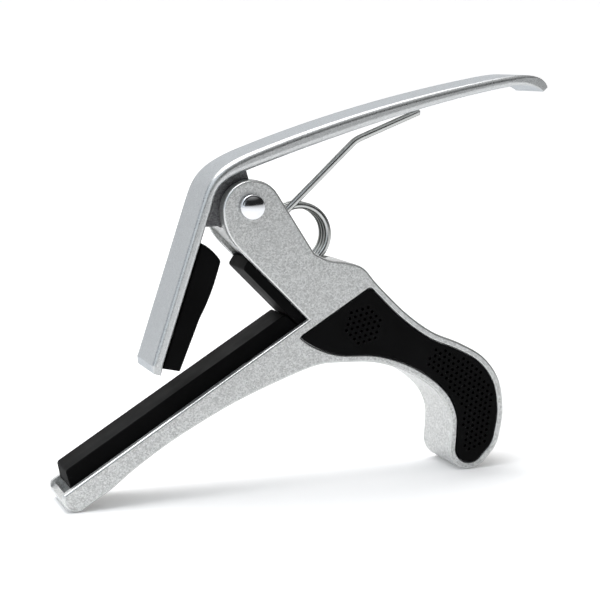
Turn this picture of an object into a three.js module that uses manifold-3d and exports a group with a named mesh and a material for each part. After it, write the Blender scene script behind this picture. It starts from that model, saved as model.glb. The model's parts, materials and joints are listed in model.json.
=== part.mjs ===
// Trigger capo: a cast body with jaw bar, clevis and handle, a bent lever on a
// pin, a torsion spring, three rubber pads and two rubber grip inlays.
// Millimetres, +Z up, +X from jaw tip to lever tip, +Y along the pivot pin.
// The drawing is made about the pivot axis and stood on z = 0 at the end.
import * as THREE from 'three';
import * as BufferGeometryUtils from 'three/addons/utils/BufferGeometryUtils.js';
import Module from 'manifold-3d';

const wasm = await Module();
wasm.setup();

const deg = THREE.MathUtils.degToRad;

// ---- overall and fits -------------------------------------------------
const BODY_WIDTH = 16;        // body, across Y
const LEVER_WIDTH = 15;       // lever strip, across Y
const GAP = 0.3;              // clearance between pieces that touch
const PLAY = 0.1;             // radial play of the pin in its bores
const EDGE = 0.5;             // broken edge of the castings

// ---- body: clevis and the L of the jaw ---------------------------------
const BOSS_R = 6.9;           // round top of each ear
const BOSS_X = 0.35;          // boss centre from the pin axis
const BOSS_DROP = 0.95;       // boss centre below the pin axis
const EAR_THICK = 3.4;        // each clevis ear, across Y
const EAR_ANGLE = 46.9;       // ear edge below horizontal
const EAR_SETBACK = 8.76;     // ear edge from the pin axis
const THROAT = 28.1;          // pin level to the corner, along the ear edge
const FLANK_ANGLE = 31;       // normal of the ear's right flank, above X
const FLANK_LENGTH = 16.3;    // straight part of that flank
const JAW_ANGLE = 30.8;       // jaw bar below horizontal
const JAW_LENGTH = 67.4;      // corner to the end of the jaw's flat top
const JAW_MID = 4.6;          // jaw bar depth at its thinnest
const TIP_R = 3.05;           // round end of the jaw bar
const CHANNEL = 1.2;          // depth of the pad channels
const WEB = 1.85;             // web between the ears, behind the channel
const WEB_TOP = 4.6;          // web's top edge below the pin axis
const FOOT_R = 5.3;           // round foot of the handle's hook

// ---- pin ---------------------------------------------------------------
const PIN_D = 4.0;
const PIN_HEAD_D = 6.2;
const PIN_DOME = 1.3;         // height of the domed head
const PIN_RIM = 0.35;         // straight rim under the dome

// ---- lever ---------------------------------------------------------------
const ARM_ANGLE = 70.3;       // short arm below horizontal
const ARM_SETBACK = 8.46;     // short arm's inner face from the pin axis
const ARM_END = 41.8;         // short arm's end, along the arm from the pin
const ARM_THICK = 2.5;
const ROOT_THICK = 3.65;      // long arm just past the bend
const TIP_THICK = 2.6;        // long arm before its curled tip
const REACH = 61.1;           // pin to the start of the curled tip
const RISE = 26.6;            // top of the lever there, above the pin axis
const CURL = 12.6;            // length of the curled tip
const LUG_R = 5.2;            // lever's lug around the pin
const LEVER_EDGE = 0.8;       // rounding of the lever's long edges

// ---- spring ----------------------------------------------------------------
const WIRE_D = 1.6;
const COIL_R = 6.7;           // mean radius of the coil
const COIL_X = 13.3;          // coil axis from the pin axis
const COIL_DROP = 7.6;
const COIL_TURNS = 3;         // whole turns besides the part between the legs
const LEG_ANGLE = 41.7;        // upper leg above horizontal
const LEG_LENGTH = 24.2;
const LEG_END = 16.6;         // length of the leg's end that presses the lever
const LEG_END_ANGLE = 20.3;    // its angle above horizontal
const ANCHOR_ANGLE = -40;     // lower leg, down into the casting
const ANCHOR_LENGTH = 15;

// ---- rubber ------------------------------------------------------------------
const PAD_WIDTH = 12;         // string and side pad, across Y
const STRING_PAD = 3.4;       // string pad above the jaw's edge
const SIDE_PAD = 2.2;         // side pad above the ear's edge
const SIDE_PAD_TOP = 6.7;     // side pad's top end, along the ear edge
const SIDE_PAD_SLANT = 2.4;   // that end leans down by this over its height
const PAD_SHORT = 1.9;        // string pad stops short of the jaw's end
const STRING_PAD_SLANT = 1.5; // that end leans back by this over its height
const PAD_DRAFT = 1.0;        // string pad narrower at its top, each side
const NECK_PAD_WIDTH = 13;
const NECK_PAD_TOP = 11;      // neck pad's ends, along the short arm
const NECK_PAD_END = 40.3;
const NECK_PAD_THICK = 6;
const GRIP_MARGIN = 1.35;     // handle's edge to the grip inlay
const GRIP_NOSE = 3.6;        // inlay's pointed end, along the jaw from the corner
const GRIP_DEPTH = 1.2;       // recess in each side of the handle
const GRIP_PROUD = 0.3;       // inlay above the handle's side

const SLOT = BODY_WIDTH - 2 * EAR_THICK;
const v2 = (x, z) => new THREE.Vector2(x, z);

// Point at distance `along` a direction and `off` to its left.
function station(origin, angle, along, off) {
  const c = Math.cos(deg(angle));
  const s = Math.sin(deg(angle));
  return v2(origin.x + c * along - s * off, origin.y + s * along + c * off);
}

// Where two lines meet, each given by a point and an angle.
function meet(p, angleP, q, angleQ) {
  const d = v2(Math.cos(deg(angleP)), Math.sin(deg(angleP)));
  const e = v2(Math.cos(deg(angleQ)), Math.sin(deg(angleQ)));
  const w = q.clone().sub(p);
  const t = (w.x * e.y - w.y * e.x) / (d.x * e.y - d.y * e.x);
  return p.clone().addScaledVector(d, t);
}

const PIVOT = v2(0, 0);
// Along the ear edge (down) with distance out into the jaw's mouth.
const onEar = (along, out = 0) => station(PIVOT, -EAR_ANGLE, along, -EAR_SETBACK - out);
const CORNER = onEar(THROAT);
// Along the jaw bar from the corner, with height above its edge.
const onJaw = (along, up = 0) => station(CORNER, 180 + JAW_ANGLE, along, -up);
// Along the short arm (down), with distance out from its inner face.
const onArm = (along, out = 0) => station(PIVOT, 180 + ARM_ANGLE, along, -ARM_SETBACK + out);
const fromCorner = (x, z) => v2(CORNER.x + x, CORNER.y + z);

function toManifold(geometry) {
  const g = geometry.clone();
  g.deleteAttribute('normal');
  g.deleteAttribute('uv');
  const merged = BufferGeometryUtils.mergeVertices(g, 1e-4);
  return new wasm.Manifold(new wasm.Mesh({
    numProp: 3,
    vertProperties: new Float32Array(merged.attributes.position.array),
    triVerts: new Uint32Array(merged.index.array),
  }));
}

function toGeometry(solid) {
  const mesh = solid.getMesh();
  const g = new THREE.BufferGeometry();
  g.setAttribute('position', new THREE.BufferAttribute(new Float32Array(mesh.vertProperties), 3));
  g.setIndex(new THREE.BufferAttribute(new Uint32Array(mesh.triVerts), 1));
  return g;
}

// A side outline (X, Z) given thickness across Y, centred on `y`.
function slab(shape, width, y = 0, edge = 0, segments = 6) {
  const g = new THREE.ExtrudeGeometry(shape, {
    depth: width - 2 * edge,
    bevelEnabled: edge > 0,
    bevelThickness: edge,
    bevelSize: edge,
    bevelOffset: -edge,
    bevelSegments: 2,
    curveSegments: segments,
  });
  g.rotateX(Math.PI / 2);
  g.translate(0, y + width / 2 - edge, 0);
  return g;
}

const polygon = (points) => new THREE.Shape(points);

// A round bar between two points of the side view, at the given y.
function rod(from, to, y, radius) {
  const g = new THREE.CylinderGeometry(radius, radius, from.distanceTo(to), 20);
  g.rotateZ(-Math.PI / 2);
  g.rotateY(-Math.atan2(to.y - from.y, to.x - from.x));
  const mid = from.clone().add(to).multiplyScalar(0.5);
  g.translate(mid.x, y, mid.y);
  return g;
}

// A round bar across the width, between two y values.
function crossRod(x, z, radius, y0, y1, segments = 28) {
  const g = new THREE.CylinderGeometry(radius, radius, y1 - y0, segments);
  g.translate(x, (y0 + y1) / 2, z);
  return g;
}

// ---- the handle's two free edges, shared by body and grips ------------------
const FOOT = fromCorner(39.6, -33.6);
const footAngle = -38;
const handleTop = new THREE.SplineCurve([
  fromCorner(13.6, 11.0),
  fromCorner(17.2, 6.8),
  fromCorner(23.8, 0.0),
  fromCorner(30.5, -5.1),
  fromCorner(37.4, -8.3),
  fromCorner(43.5, -12.2),
  fromCorner(47.4, -17.9),
  fromCorner(48.5, -25.0),
  fromCorner(47.3, -31.6),
  station(FOOT, footAngle, FOOT_R, 0),
]);
const arch = new THREE.SplineCurve([
  station(FOOT, 180, FOOT_R, 0),
  fromCorner(34.7, -29.6),
  fromCorner(34.7, -25.8),
  fromCorner(33.0, -21.6),
  fromCorner(29.2, -17.6),
  fromCorner(23.4, -13.9),
  fromCorner(16.2, -11.3),
  fromCorner(8.6, -10.6),
]);

// Points of a curve moved to its right by a distance.
function offsetPoints(curve, from, to, count, distance) {
  const points = [];
  for (let i = 0; i <= count; i += 1) {
    const t = from + ((to - from) * i) / count;
    const p = curve.getPoint(t);
    const d = curve.getTangent(t);
    points.push(v2(p.x + d.y * distance, p.y - d.x * distance));
  }
  return points;
}

function bodyOutline() {
  const boss = v2(BOSS_X, -BOSS_DROP);
  const s = new THREE.Shape();
  s.moveTo(CORNER.x, CORNER.y);
  const edgeTop = onEar(5.6);
  s.lineTo(edgeTop.x, edgeTop.y);
  const left = boss.x - BOSS_R;
  s.bezierCurveTo(...onEar(2.4).toArray(), left, boss.y - 4.2, left, boss.y);
  s.absarc(boss.x, boss.y, BOSS_R, Math.PI, deg(FLANK_ANGLE), true);
  const flank = station(boss, FLANK_ANGLE, BOSS_R, -FLANK_LENGTH);
  s.lineTo(flank.x, flank.y);
  s.splineThru([fromCorner(5.4, 13.4), fromCorner(9.6, 12.6), ...handleTop.points]);
  s.absarc(FOOT.x, FOOT.y, FOOT_R, deg(footAngle), -Math.PI, true);
  const under = [[0.06, -10.1], [0.2, -7.8], [0.36, -5.9], [0.5, -5.0], [0.63, -JAW_MID],
    [0.76, -4.85], [0.86, -5.5]];
  const jawUnder = under.map(([t, up]) => onJaw(t * JAW_LENGTH, up));
  s.splineThru([...arch.points.slice(1), ...jawUnder, onJaw(JAW_LENGTH - 4.2, -5.5)]);
  const tip = onJaw(JAW_LENGTH - 1.8, -2.6);
  const endAngle = 180 + JAW_ANGLE - 52;
  s.absarc(tip.x, tip.y, TIP_R, deg(-62), deg(endAngle - 360), true);
  return s;
}

// The L-shaped run of both pad channels: everything inside the jaw's mouth.
function channelCut() {
  const top = onEar(-14, -CHANNEL);
  const corner = meet(onEar(0, -CHANNEL), -EAR_ANGLE, onJaw(0, -CHANNEL), JAW_ANGLE);
  const end = onJaw(JAW_LENGTH + 12, -CHANNEL);
  const cut = polygon([top, corner, end, onJaw(JAW_LENGTH + 12, 30), onEar(-14, 40)]);
  return slab(cut, PAD_WIDTH + 2 * GAP);
}

// The space between the ears: lug slot, then the spring's pocket.
function clevisCut() {
  const inner = onEar(0, -CHANNEL - WEB);
  const webTop = meet(inner, -EAR_ANGLE, v2(0, -WEB_TOP), 0);
  const floor = -COIL_DROP - COIL_R - WIRE_D / 2 - 0.6;
  const low = meet(inner, -EAR_ANGLE, v2(0, floor), 0);
  return slab(polygon([
    v2(-30, -WEB_TOP), webTop, low, v2(COIL_X, floor), v2(COIL_X + 12, floor + 2.5),
    v2(COIL_X + 24, 20), v2(-30, 20),
  ]), SLOT);
}

function gripPoints(margin) {
  const grow = GRIP_MARGIN - margin;
  const line = onJaw(0, -2.3 + grow);
  const nose = onJaw(GRIP_NOSE + 2.2 * grow, -2.3 - grow);
  const upper = offsetPoints(handleTop, 0.12, 1, 34, margin);
  const lower = offsetPoints(arch, 0, 0.97, 30, margin);
  const corner = meet(line, JAW_ANGLE, upper[0], -48);
  const foot = [];
  for (let i = 1; i < 10; i += 1) {
    foot.push(station(FOOT, footAngle - ((180 + footAngle) * i) / 10, FOOT_R - margin, 0));
  }
  const start = lower[lower.length - 1];
  const belly = new THREE.CubicBezierCurve(
    start, v2(start.x - 4.5, start.y + 0.1),
    v2(nose.x + 2.2, nose.y - 2.3), nose,
  ).getPoints(12);
  const round = new THREE.QuadraticBezierCurve(
    station(corner, 180 + JAW_ANGLE, 0.9, 0), corner, station(corner, -48, 0.9, 0),
  ).getPoints(5);
  const rest = upper.filter((p) => p.x > corner.x + 1);
  return [nose, onJaw(GRIP_NOSE - 0.5, -2.3 + grow), ...round, ...rest, ...foot, ...lower,
    ...belly.slice(1, -1)];
}

function makeBody() {
  let solid = toManifold(slab(bodyOutline(), BODY_WIDTH, 0, EDGE));
  solid = solid.subtract(toManifold(channelCut()));
  solid = solid.subtract(toManifold(clevisCut()));
  const pin = crossRod(0, 0, PIN_D / 2 + PLAY, -BODY_WIDTH, BODY_WIDTH, 36);
  solid = solid.subtract(toManifold(pin));
  const hole = anchorLeg(1.2);
  solid = solid.subtract(toManifold(rod(hole[0], hole[1], anchorY, WIRE_D / 2 + GAP)));
  const recess = polygon(gripPoints(GRIP_MARGIN - GAP));
  for (const side of [-1, 1]) {
    const y = side * (BODY_WIDTH / 2);
    solid = solid.subtract(toManifold(slab(recess, 2 * GRIP_DEPTH, y)));
  }
  return toGeometry(solid);
}

function makeGrip(side) {
  const thick = GRIP_DEPTH - GAP + GRIP_PROUD;
  const y = side * (BODY_WIDTH / 2 + GRIP_PROUD - thick / 2);
  return slab(polygon(gripPoints(GRIP_MARGIN)), thick, y, 0.25);
}

// ---- lever ---------------------------------------------------------------------
const lipTop = v2(REACH, RISE);
const lipUnder = v2(REACH + 0.4, RISE - TIP_THICK);
const ROOT = v2(0, 11.85);
const UNDER = v2(0.2, ROOT.y - ROOT_THICK);

function leverOutline() {
  const s = new THREE.Shape();
  const end = onArm(ARM_END, 0);
  const endOut = onArm(ARM_END, -ARM_THICK);
  const bendIn = onArm(1, 0);
  const bendOut = onArm(1, -ARM_THICK);
  const tip = v2(REACH + CURL, RISE - 2.7);
  s.moveTo(end.x, end.y);
  s.lineTo(bendIn.x, bendIn.y);
  const innerBend = meet(bendIn, ARM_ANGLE, UNDER, 17.5);
  s.bezierCurveTo(
    ...bendIn.clone().lerp(innerBend, 0.8).toArray(),
    ...UNDER.clone().lerp(innerBend, 0.78).toArray(), UNDER.x, UNDER.y,
  );
  const lowPull = meet(UNDER, 18, lipUnder, 9);
  s.quadraticCurveTo(lowPull.x, lowPull.y, lipUnder.x, lipUnder.y);
  s.bezierCurveTo(lipUnder.x + 4.5, lipUnder.y + 0.7, tip.x - 4.2, tip.y + 1.4,
    tip.x - 1.1, tip.y - 0.9);
  s.lineTo(tip.x, tip.y);
  s.bezierCurveTo(tip.x - 1.1, tip.y + 3.9, lipTop.x + 5, lipTop.y + 0.75, lipTop.x, lipTop.y);
  const topPull = meet(ROOT, 19, lipTop, 8.5);
  s.quadraticCurveTo(topPull.x, topPull.y, ROOT.x, ROOT.y);
  const outerBend = meet(bendOut, ARM_ANGLE, ROOT, 21);
  s.bezierCurveTo(
    ...ROOT.clone().lerp(outerBend, 0.76).toArray(),
    ...bendOut.clone().lerp(outerBend, 0.76).toArray(), bendOut.x, bendOut.y,
  );
  s.lineTo(endOut.x, endOut.y);
  return s;
}

// The lug under the bend that the pin passes through.
function lugOutline() {
  const low = -WEB_TOP + GAP;
  const s = new THREE.Shape();
  s.moveTo(-0.4, ROOT.y - 1.6);
  s.lineTo(0.9, LUG_R * 0.985);
  s.absarc(0, 0, LUG_R, deg(80), -Math.PI + Math.asin(-low / LUG_R), true);
  const inner = meet(onArm(0, -1.2), ARM_ANGLE, v2(0, low), 0);
  s.lineTo(inner.x, inner.y);
  s.lineTo(...onArm(-3, -1.2).toArray());
  s.lineTo(-6.2, 8.4);
  return s;
}

function makeLever() {
  let solid = toManifold(slab(leverOutline(), LEVER_WIDTH, 0, LEVER_EDGE, 12));
  solid = solid.add(toManifold(slab(lugOutline(), SLOT - 2 * GAP)));
  const bore = crossRod(0, 0, PIN_D / 2 + PLAY, -BODY_WIDTH, BODY_WIDTH, 36);
  return toGeometry(solid.subtract(toManifold(bore)));
}

// ---- pin -------------------------------------------------------------------------
function makePin() {
  const r = PIN_D / 2;
  const face = BODY_WIDTH / 2 + GAP;
  const tail = face + PIN_RIM + PIN_DOME;
  const profile = [v2(0, -tail), v2(r - 0.3, -tail), v2(r, -tail + 0.3), v2(r, face)];
  const head = PIN_HEAD_D / 2;
  profile.push(v2(head, face), v2(head, face + PIN_RIM));
  for (let i = 1; i <= 7; i += 1) {
    const a = (i / 7) * (Math.PI / 2);
    const radius = i === 7 ? 0 : head * Math.cos(a);
    profile.push(v2(radius, face + PIN_RIM + PIN_DOME * Math.sin(a)));
  }
  const g = new THREE.LatheGeometry(profile, 36);
  g.rotateX(Math.PI);
  return g;
}

// Washer riveted on the pin's plain end, behind the far ear.
function makePinWasher() {
  const face = BODY_WIDTH / 2 + GAP;
  const hole = PIN_D / 2 + GAP;
  const rim = PIN_HEAD_D / 2 + 0.4;
  const profile = [
    v2(hole, face), v2(rim, face), v2(rim, face + 0.5), v2(rim - 0.3, face + 0.8),
    v2(hole, face + 0.8), v2(hole, face),
  ];
  return new THREE.LatheGeometry(profile, 36);
}

// ---- spring -------------------------------------------------------------------------
const COIL = v2(COIL_X, -COIL_DROP);
const PITCH = WIRE_D + GAP;
const coilTurn = sweepBetweenLegs() / 360;
const anchorY = (PITCH * coilTurn) / 2;

// Degrees turned by the wire from the lower leg to the upper one.
function sweepBetweenLegs() {
  const start = 270 + ANCHOR_ANGLE;
  const end = LEG_ANGLE + 90;
  return 360 * COIL_TURNS + start - end;
}

// The lower leg's two ends in the side view, lengthened by `extra`.
function anchorLeg(extra = 0) {
  const tangent = station(COIL, 270 + ANCHOR_ANGLE, COIL_R, 0);
  return [tangent, station(tangent, ANCHOR_ANGLE, ANCHOR_LENGTH + extra, 0)];
}

class Coil extends THREE.Curve {
  getPoint(t, target = new THREE.Vector3()) {
    const a = deg(270 + ANCHOR_ANGLE - sweepBetweenLegs() * t);
    const y = anchorY - PITCH * coilTurn * t;
    return target.set(COIL.x + COIL_R * Math.cos(a), y, COIL.y + COIL_R * Math.sin(a));
  }
}

function makeSpring() {
  const at = (p, y) => new THREE.Vector3(p.x, y, p.y);
  const [tangent, anchorEnd] = anchorLeg();
  const legStart = station(COIL, LEG_ANGLE + 90, COIL_R, 0);
  const elbow = station(legStart, LEG_ANGLE, LEG_LENGTH, 0);
  const legTip = station(elbow, LEG_END_ANGLE, LEG_END, 0);
  const before = station(elbow, LEG_ANGLE + 180, 1.4, 0);
  const after = station(elbow, LEG_END_ANGLE, 1.4, 0);
  const path = new THREE.CurvePath();
  path.add(new THREE.LineCurve3(at(anchorEnd, anchorY), at(tangent, anchorY)));
  path.add(new Coil());
  path.add(new THREE.LineCurve3(at(legStart, -anchorY), at(before, -anchorY)));
  path.add(new THREE.QuadraticBezierCurve3(
    at(before, -anchorY), at(elbow, -anchorY), at(after, -anchorY),
  ));
  path.add(new THREE.LineCurve3(at(after, -anchorY), at(legTip, -anchorY)));
  const wire = new THREE.Shape();
  wire.absarc(0, 0, WIRE_D / 2, 0, 2 * Math.PI, false);
  return new THREE.ExtrudeGeometry(wire, {
    steps: 150, curveSegments: 5, bevelEnabled: false, extrudePath: path,
  });
}

// ---- pads -----------------------------------------------------------------------------
function makeStringPad() {
  const bottom = GAP - CHANNEL;
  const face = onEar(0, SIDE_PAD + GAP);
  const end = JAW_LENGTH - PAD_SHORT;
  const outline = polygon([
    meet(face, -EAR_ANGLE, onJaw(0, bottom), JAW_ANGLE),
    meet(face, -EAR_ANGLE, onJaw(0, STRING_PAD), JAW_ANGLE),
    onJaw(end - STRING_PAD_SLANT, STRING_PAD),
    onJaw(end, bottom),
  ]);
  const g = slab(outline, PAD_WIDTH, 0, 0.35);
  const up = onJaw(0, 1).sub(CORNER);
  const position = g.attributes.position;
  for (let i = 0; i < position.count; i += 1) {
    const dx = position.getX(i) - CORNER.x;
    const dz = position.getZ(i) - CORNER.y;
    const rise = Math.max(dx * up.x + dz * up.y, 0) / STRING_PAD;
    position.setY(i, position.getY(i) * (1 - (rise * 2 * PAD_DRAFT) / PAD_WIDTH));
  }
  return g;
}

function makeSidePad() {
  const base = onEar(0, GAP - CHANNEL);
  const face = onEar(0, SIDE_PAD);
  const foot = onJaw(0, GAP - CHANNEL);
  const outline = polygon([
    onEar(SIDE_PAD_TOP, GAP - CHANNEL), onEar(SIDE_PAD_TOP + SIDE_PAD_SLANT, SIDE_PAD),
    meet(face, -EAR_ANGLE, foot, JAW_ANGLE), meet(base, -EAR_ANGLE, foot, JAW_ANGLE),
  ]);
  return slab(outline, PAD_WIDTH, 0, 0.35);
}

function makeNeckPad() {
  const s = new THREE.Shape();
  const length = NECK_PAD_END - NECK_PAD_TOP;
  const along = (t, h) => onArm(NECK_PAD_TOP + t * length, h * NECK_PAD_THICK);
  s.moveTo(...onArm(NECK_PAD_TOP, GAP).toArray());
  s.lineTo(...onArm(NECK_PAD_END, GAP).toArray());
  s.lineTo(...along(0.985, 0.72).toArray());
  s.lineTo(...along(0.55, 0.86).toArray());
  s.splineThru([along(0.43, 0.95), along(0.3, 1), along(0.07, 0.95)]);
  s.lineTo(...along(0.01, 0.4).toArray());
  return slab(s, NECK_PAD_WIDTH, 0, 0.5);
}

// ---- assembly ---------------------------------------------------------------------------
const SILVER = { color: 0xb4b6ba, roughness: 0.45, metalness: 0.8 };
const STEEL = { color: 0xc9cbce, roughness: 0.22, metalness: 1 };
const RUBBER = { color: 0x0c0c0d, roughness: 0.7, metalness: 0 };

const pieces = [
  ['body', makeBody(), SILVER],
  ['lever', makeLever(), SILVER],
  ['pivot_pin', makePin(), STEEL],
  ['pin_washer', makePinWasher(), STEEL],
  ['spring', makeSpring(), STEEL],
  ['string_pad', makeStringPad(), RUBBER],
  ['side_pad', makeSidePad(), RUBBER],
  ['neck_pad', makeNeckPad(), RUBBER],
  ['grip_front', makeGrip(-1), RUBBER],
  ['grip_rear', makeGrip(1), RUBBER],
];

const bounds = new THREE.Box3();
for (const [, geometry] of pieces) {
  geometry.computeBoundingBox();
  bounds.union(geometry.boundingBox);
}
const middle = bounds.getCenter(new THREE.Vector3());

const group = new THREE.Group();
group.name = 'capo';
for (const [name, geometry, look] of pieces) {
  geometry.translate(-middle.x, -middle.y, -bounds.min.z);
  const mesh = new THREE.Mesh(geometry, new THREE.MeshStandardMaterial(look));
  mesh.name = name;
  group.add(mesh);
}

export default group;
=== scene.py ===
"""Looks of a spring clamp capo: castings, pin, spring, rubber pads and grip inlays.

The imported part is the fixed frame. Sizes are in millimetres in the side view, X right and
Z up, about the axis of the lever's pin, and become metres in the row frame in `Skin.make`.
"""
import json
import logging
import math
from dataclasses import dataclass, field
from enum import Enum

import bpy
import numpy as np
from mathutils import Matrix, Vector
from mathutils.geometry import tessellate_polygon


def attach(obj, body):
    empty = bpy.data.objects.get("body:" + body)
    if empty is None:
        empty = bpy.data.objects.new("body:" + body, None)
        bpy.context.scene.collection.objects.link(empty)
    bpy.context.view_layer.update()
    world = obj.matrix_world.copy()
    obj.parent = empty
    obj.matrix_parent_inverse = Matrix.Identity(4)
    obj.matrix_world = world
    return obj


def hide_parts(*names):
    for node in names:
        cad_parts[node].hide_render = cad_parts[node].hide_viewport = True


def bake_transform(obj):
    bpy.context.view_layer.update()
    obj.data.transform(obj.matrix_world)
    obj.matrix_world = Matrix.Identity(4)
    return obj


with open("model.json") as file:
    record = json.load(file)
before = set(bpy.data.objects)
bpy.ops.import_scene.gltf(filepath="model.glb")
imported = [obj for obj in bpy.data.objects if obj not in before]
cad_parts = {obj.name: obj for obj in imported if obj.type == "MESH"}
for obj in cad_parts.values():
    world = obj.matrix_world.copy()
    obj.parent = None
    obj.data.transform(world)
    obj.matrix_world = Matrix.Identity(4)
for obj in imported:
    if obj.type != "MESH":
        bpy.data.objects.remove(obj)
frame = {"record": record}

log = logging.getLogger("capo")
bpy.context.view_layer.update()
PIVOT = np.array(frame["record"]["behaviour"]["joints"][0]["pos_m"], float)
SHARP = 0.01  # rounding of an edge that is meant to look sharp or lies inside a piece
MM = 0.001  # one millimetre in metres

Colour = tuple[float, float, float]
Tint = tuple[float, float, float, float]


class Body(Enum):
    """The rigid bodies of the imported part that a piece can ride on."""

    FRAME = "frame"
    LEVER = "lever"


class Side(Enum):
    """The two faces of the capo, by the sign of Y."""

    FRONT = -1
    REAR = 1


# ---------------------------------------------------------------- side-view geometry


def direction(angle: float) -> np.ndarray:
    """Unit vector at an angle in degrees above X."""
    return np.array([math.cos(math.radians(angle)), math.sin(math.radians(angle))])


def station(origin: np.ndarray, angle: float, along: float, off: float = 0.0) -> np.ndarray:
    """Finds a point from distances along and across a direction.

    Args:
        origin: start point.
        angle: direction in degrees.
        along: distance in that direction.
        off: distance to its left.

    Returns:
        The point (x, z).
    """
    d = direction(angle)
    return origin + along * d + off * np.array([-d[1], d[0]])


def meet(p: np.ndarray, angle_p: float, q: np.ndarray, angle_q: float) -> np.ndarray:
    """Finds where two lines cross.

    Args:
        p: point on the first line.
        angle_p: its direction in degrees.
        q: point on the second line.
        angle_q: its direction in degrees.

    Returns:
        The crossing point, from the ratio of the two cross products.
    """
    d, e, w = direction(angle_p), direction(angle_q), q - p
    return p + d * (w[0] * e[1] - w[1] * e[0]) / (d[0] * e[1] - d[1] * e[0])


def line(p: np.ndarray, q: np.ndarray, step: float = 0.5) -> np.ndarray:
    """Points from p to q about a step apart, by linear blend."""
    n = max(2, int(np.linalg.norm(q - p) / step) + 1)
    return p + np.linspace(0.0, 1.0, n)[:, None] * (q - p)


def arc(centre: np.ndarray, radius: float, start: float, end: float, n: int = 48) -> np.ndarray:
    """Points on a circle between two angles in degrees: centre + radius (cos, sin)."""
    a = np.radians(np.linspace(start, end, n))
    return centre + radius * np.stack([np.cos(a), np.sin(a)], 1)


def mix(p: np.ndarray, q: np.ndarray, share: float) -> np.ndarray:
    """Point at a share of the way from p to q."""
    return p + share * (q - p)


def bezier(*pulls: np.ndarray, n: int = 28) -> np.ndarray:
    """Samples a Bezier curve of any degree.

    Args:
        pulls: the control points, first and last on the curve.
        n: number of points.

    Returns:
        The points: the sum of the control points, each times its Bernstein weight
        comb(k, i) t^i (1 - t)^(k - i).
    """
    t = np.linspace(0.0, 1.0, n)[:, None]
    k = len(pulls) - 1
    weights = [math.comb(k, i) * t**i * (1 - t) ** (k - i) for i in range(k + 1)]
    return sum(w * p for w, p in zip(weights, pulls))


def spline(points: np.ndarray, per_span: int = 14) -> np.ndarray:
    """Samples a uniform Catmull-Rom curve through points, its end points doubled.

    Args:
        points: the points that the curve passes through.
        per_span: samples between two of them.

    Returns:
        The samples: the cubic Hermite blend of each span, with half the chord between
        a point's neighbours as its tangent.
    """
    p = np.vstack([points[:1], points, points[-1:]])
    t = np.linspace(0.0, 1.0, per_span, endpoint=False)[None, :, None]
    a, b, c, d = (p[i : len(p) - 3 + i, None, :] for i in range(4))
    ta, tb = (c - a) / 2, (d - b) / 2
    s = b + ta * t + (3 * (c - b) - 2 * ta - tb) * t**2 + (2 * (b - c) + ta + tb) * t**3
    return np.vstack([s.reshape(-1, 2), points[-1:]])


def beside(points: np.ndarray, distance: float) -> np.ndarray:
    """Moves an open line of points to its right by a distance, along its own normals."""
    d = np.gradient(points, axis=0)
    d /= np.linalg.norm(d, axis=1, keepdims=True)
    return points + distance * np.stack([d[:, 1], -d[:, 0]], 1)


class Outline:
    """A closed side outline with the directions that a rounded edge needs.

    Attributes:
        points: corners in order, anticlockwise in (x, z).
        miter: outward step at each point that moves both its edges out by one.
        lead: outward normal at the start of each edge.
        trail: outward normal at the end of each edge.
    """

    CREASE = math.cos(math.radians(24.0))

    def __init__(self, *runs: np.ndarray) -> None:
        """Joins runs of points, drops the doubled ones and works out the normals."""
        p = np.vstack([np.atleast_2d(r) for r in runs])
        keep = np.linalg.norm(p - np.roll(p, 1, 0), axis=1) > 1e-3
        p = p[keep]
        q = np.roll(p, -1, 0)
        if (p[:, 0] * q[:, 1] - q[:, 0] * p[:, 1]).sum() < 0:
            p = p[::-1]
        self.points = p
        edge = np.roll(p, -1, 0) - p
        edge /= np.linalg.norm(edge, axis=1, keepdims=True)
        after = np.stack([edge[:, 1], -edge[:, 0]], 1)
        before = np.roll(after, 1, 0)
        dot = (after * before).sum(1, keepdims=True)
        mean = after + before
        self.miter = mean / np.maximum(1 + dot, 0.25)
        mean /= np.maximum(np.linalg.norm(mean, axis=1, keepdims=True), 1e-9)
        sharp = dot < self.CREASE
        self.lead = np.where(sharp, after, mean)
        self.trail = np.roll(np.where(sharp, before, mean), -1, 0)

    def inside(self, at: np.ndarray) -> np.ndarray:
        """Tells which points lie inside.

        Args:
            at: points to test, one a row.

        Returns:
            True where a ray to the right crosses the outline an odd number of times.
        """
        p, q = self.points[None], np.roll(self.points, -1, 0)[None]
        x, z = at[:, 0:1], at[:, 1:2]
        spans = (p[..., 1] > z) != (q[..., 1] > z)
        rise = np.where(spans, q[..., 1] - p[..., 1], 1.0)
        cross = p[..., 0] + (z - p[..., 1]) / rise * (q[..., 0] - p[..., 0])
        return ((spans & (x < cross)).sum(1) % 2) == 1


# ---------------------------------------------------------------- meshes


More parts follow.
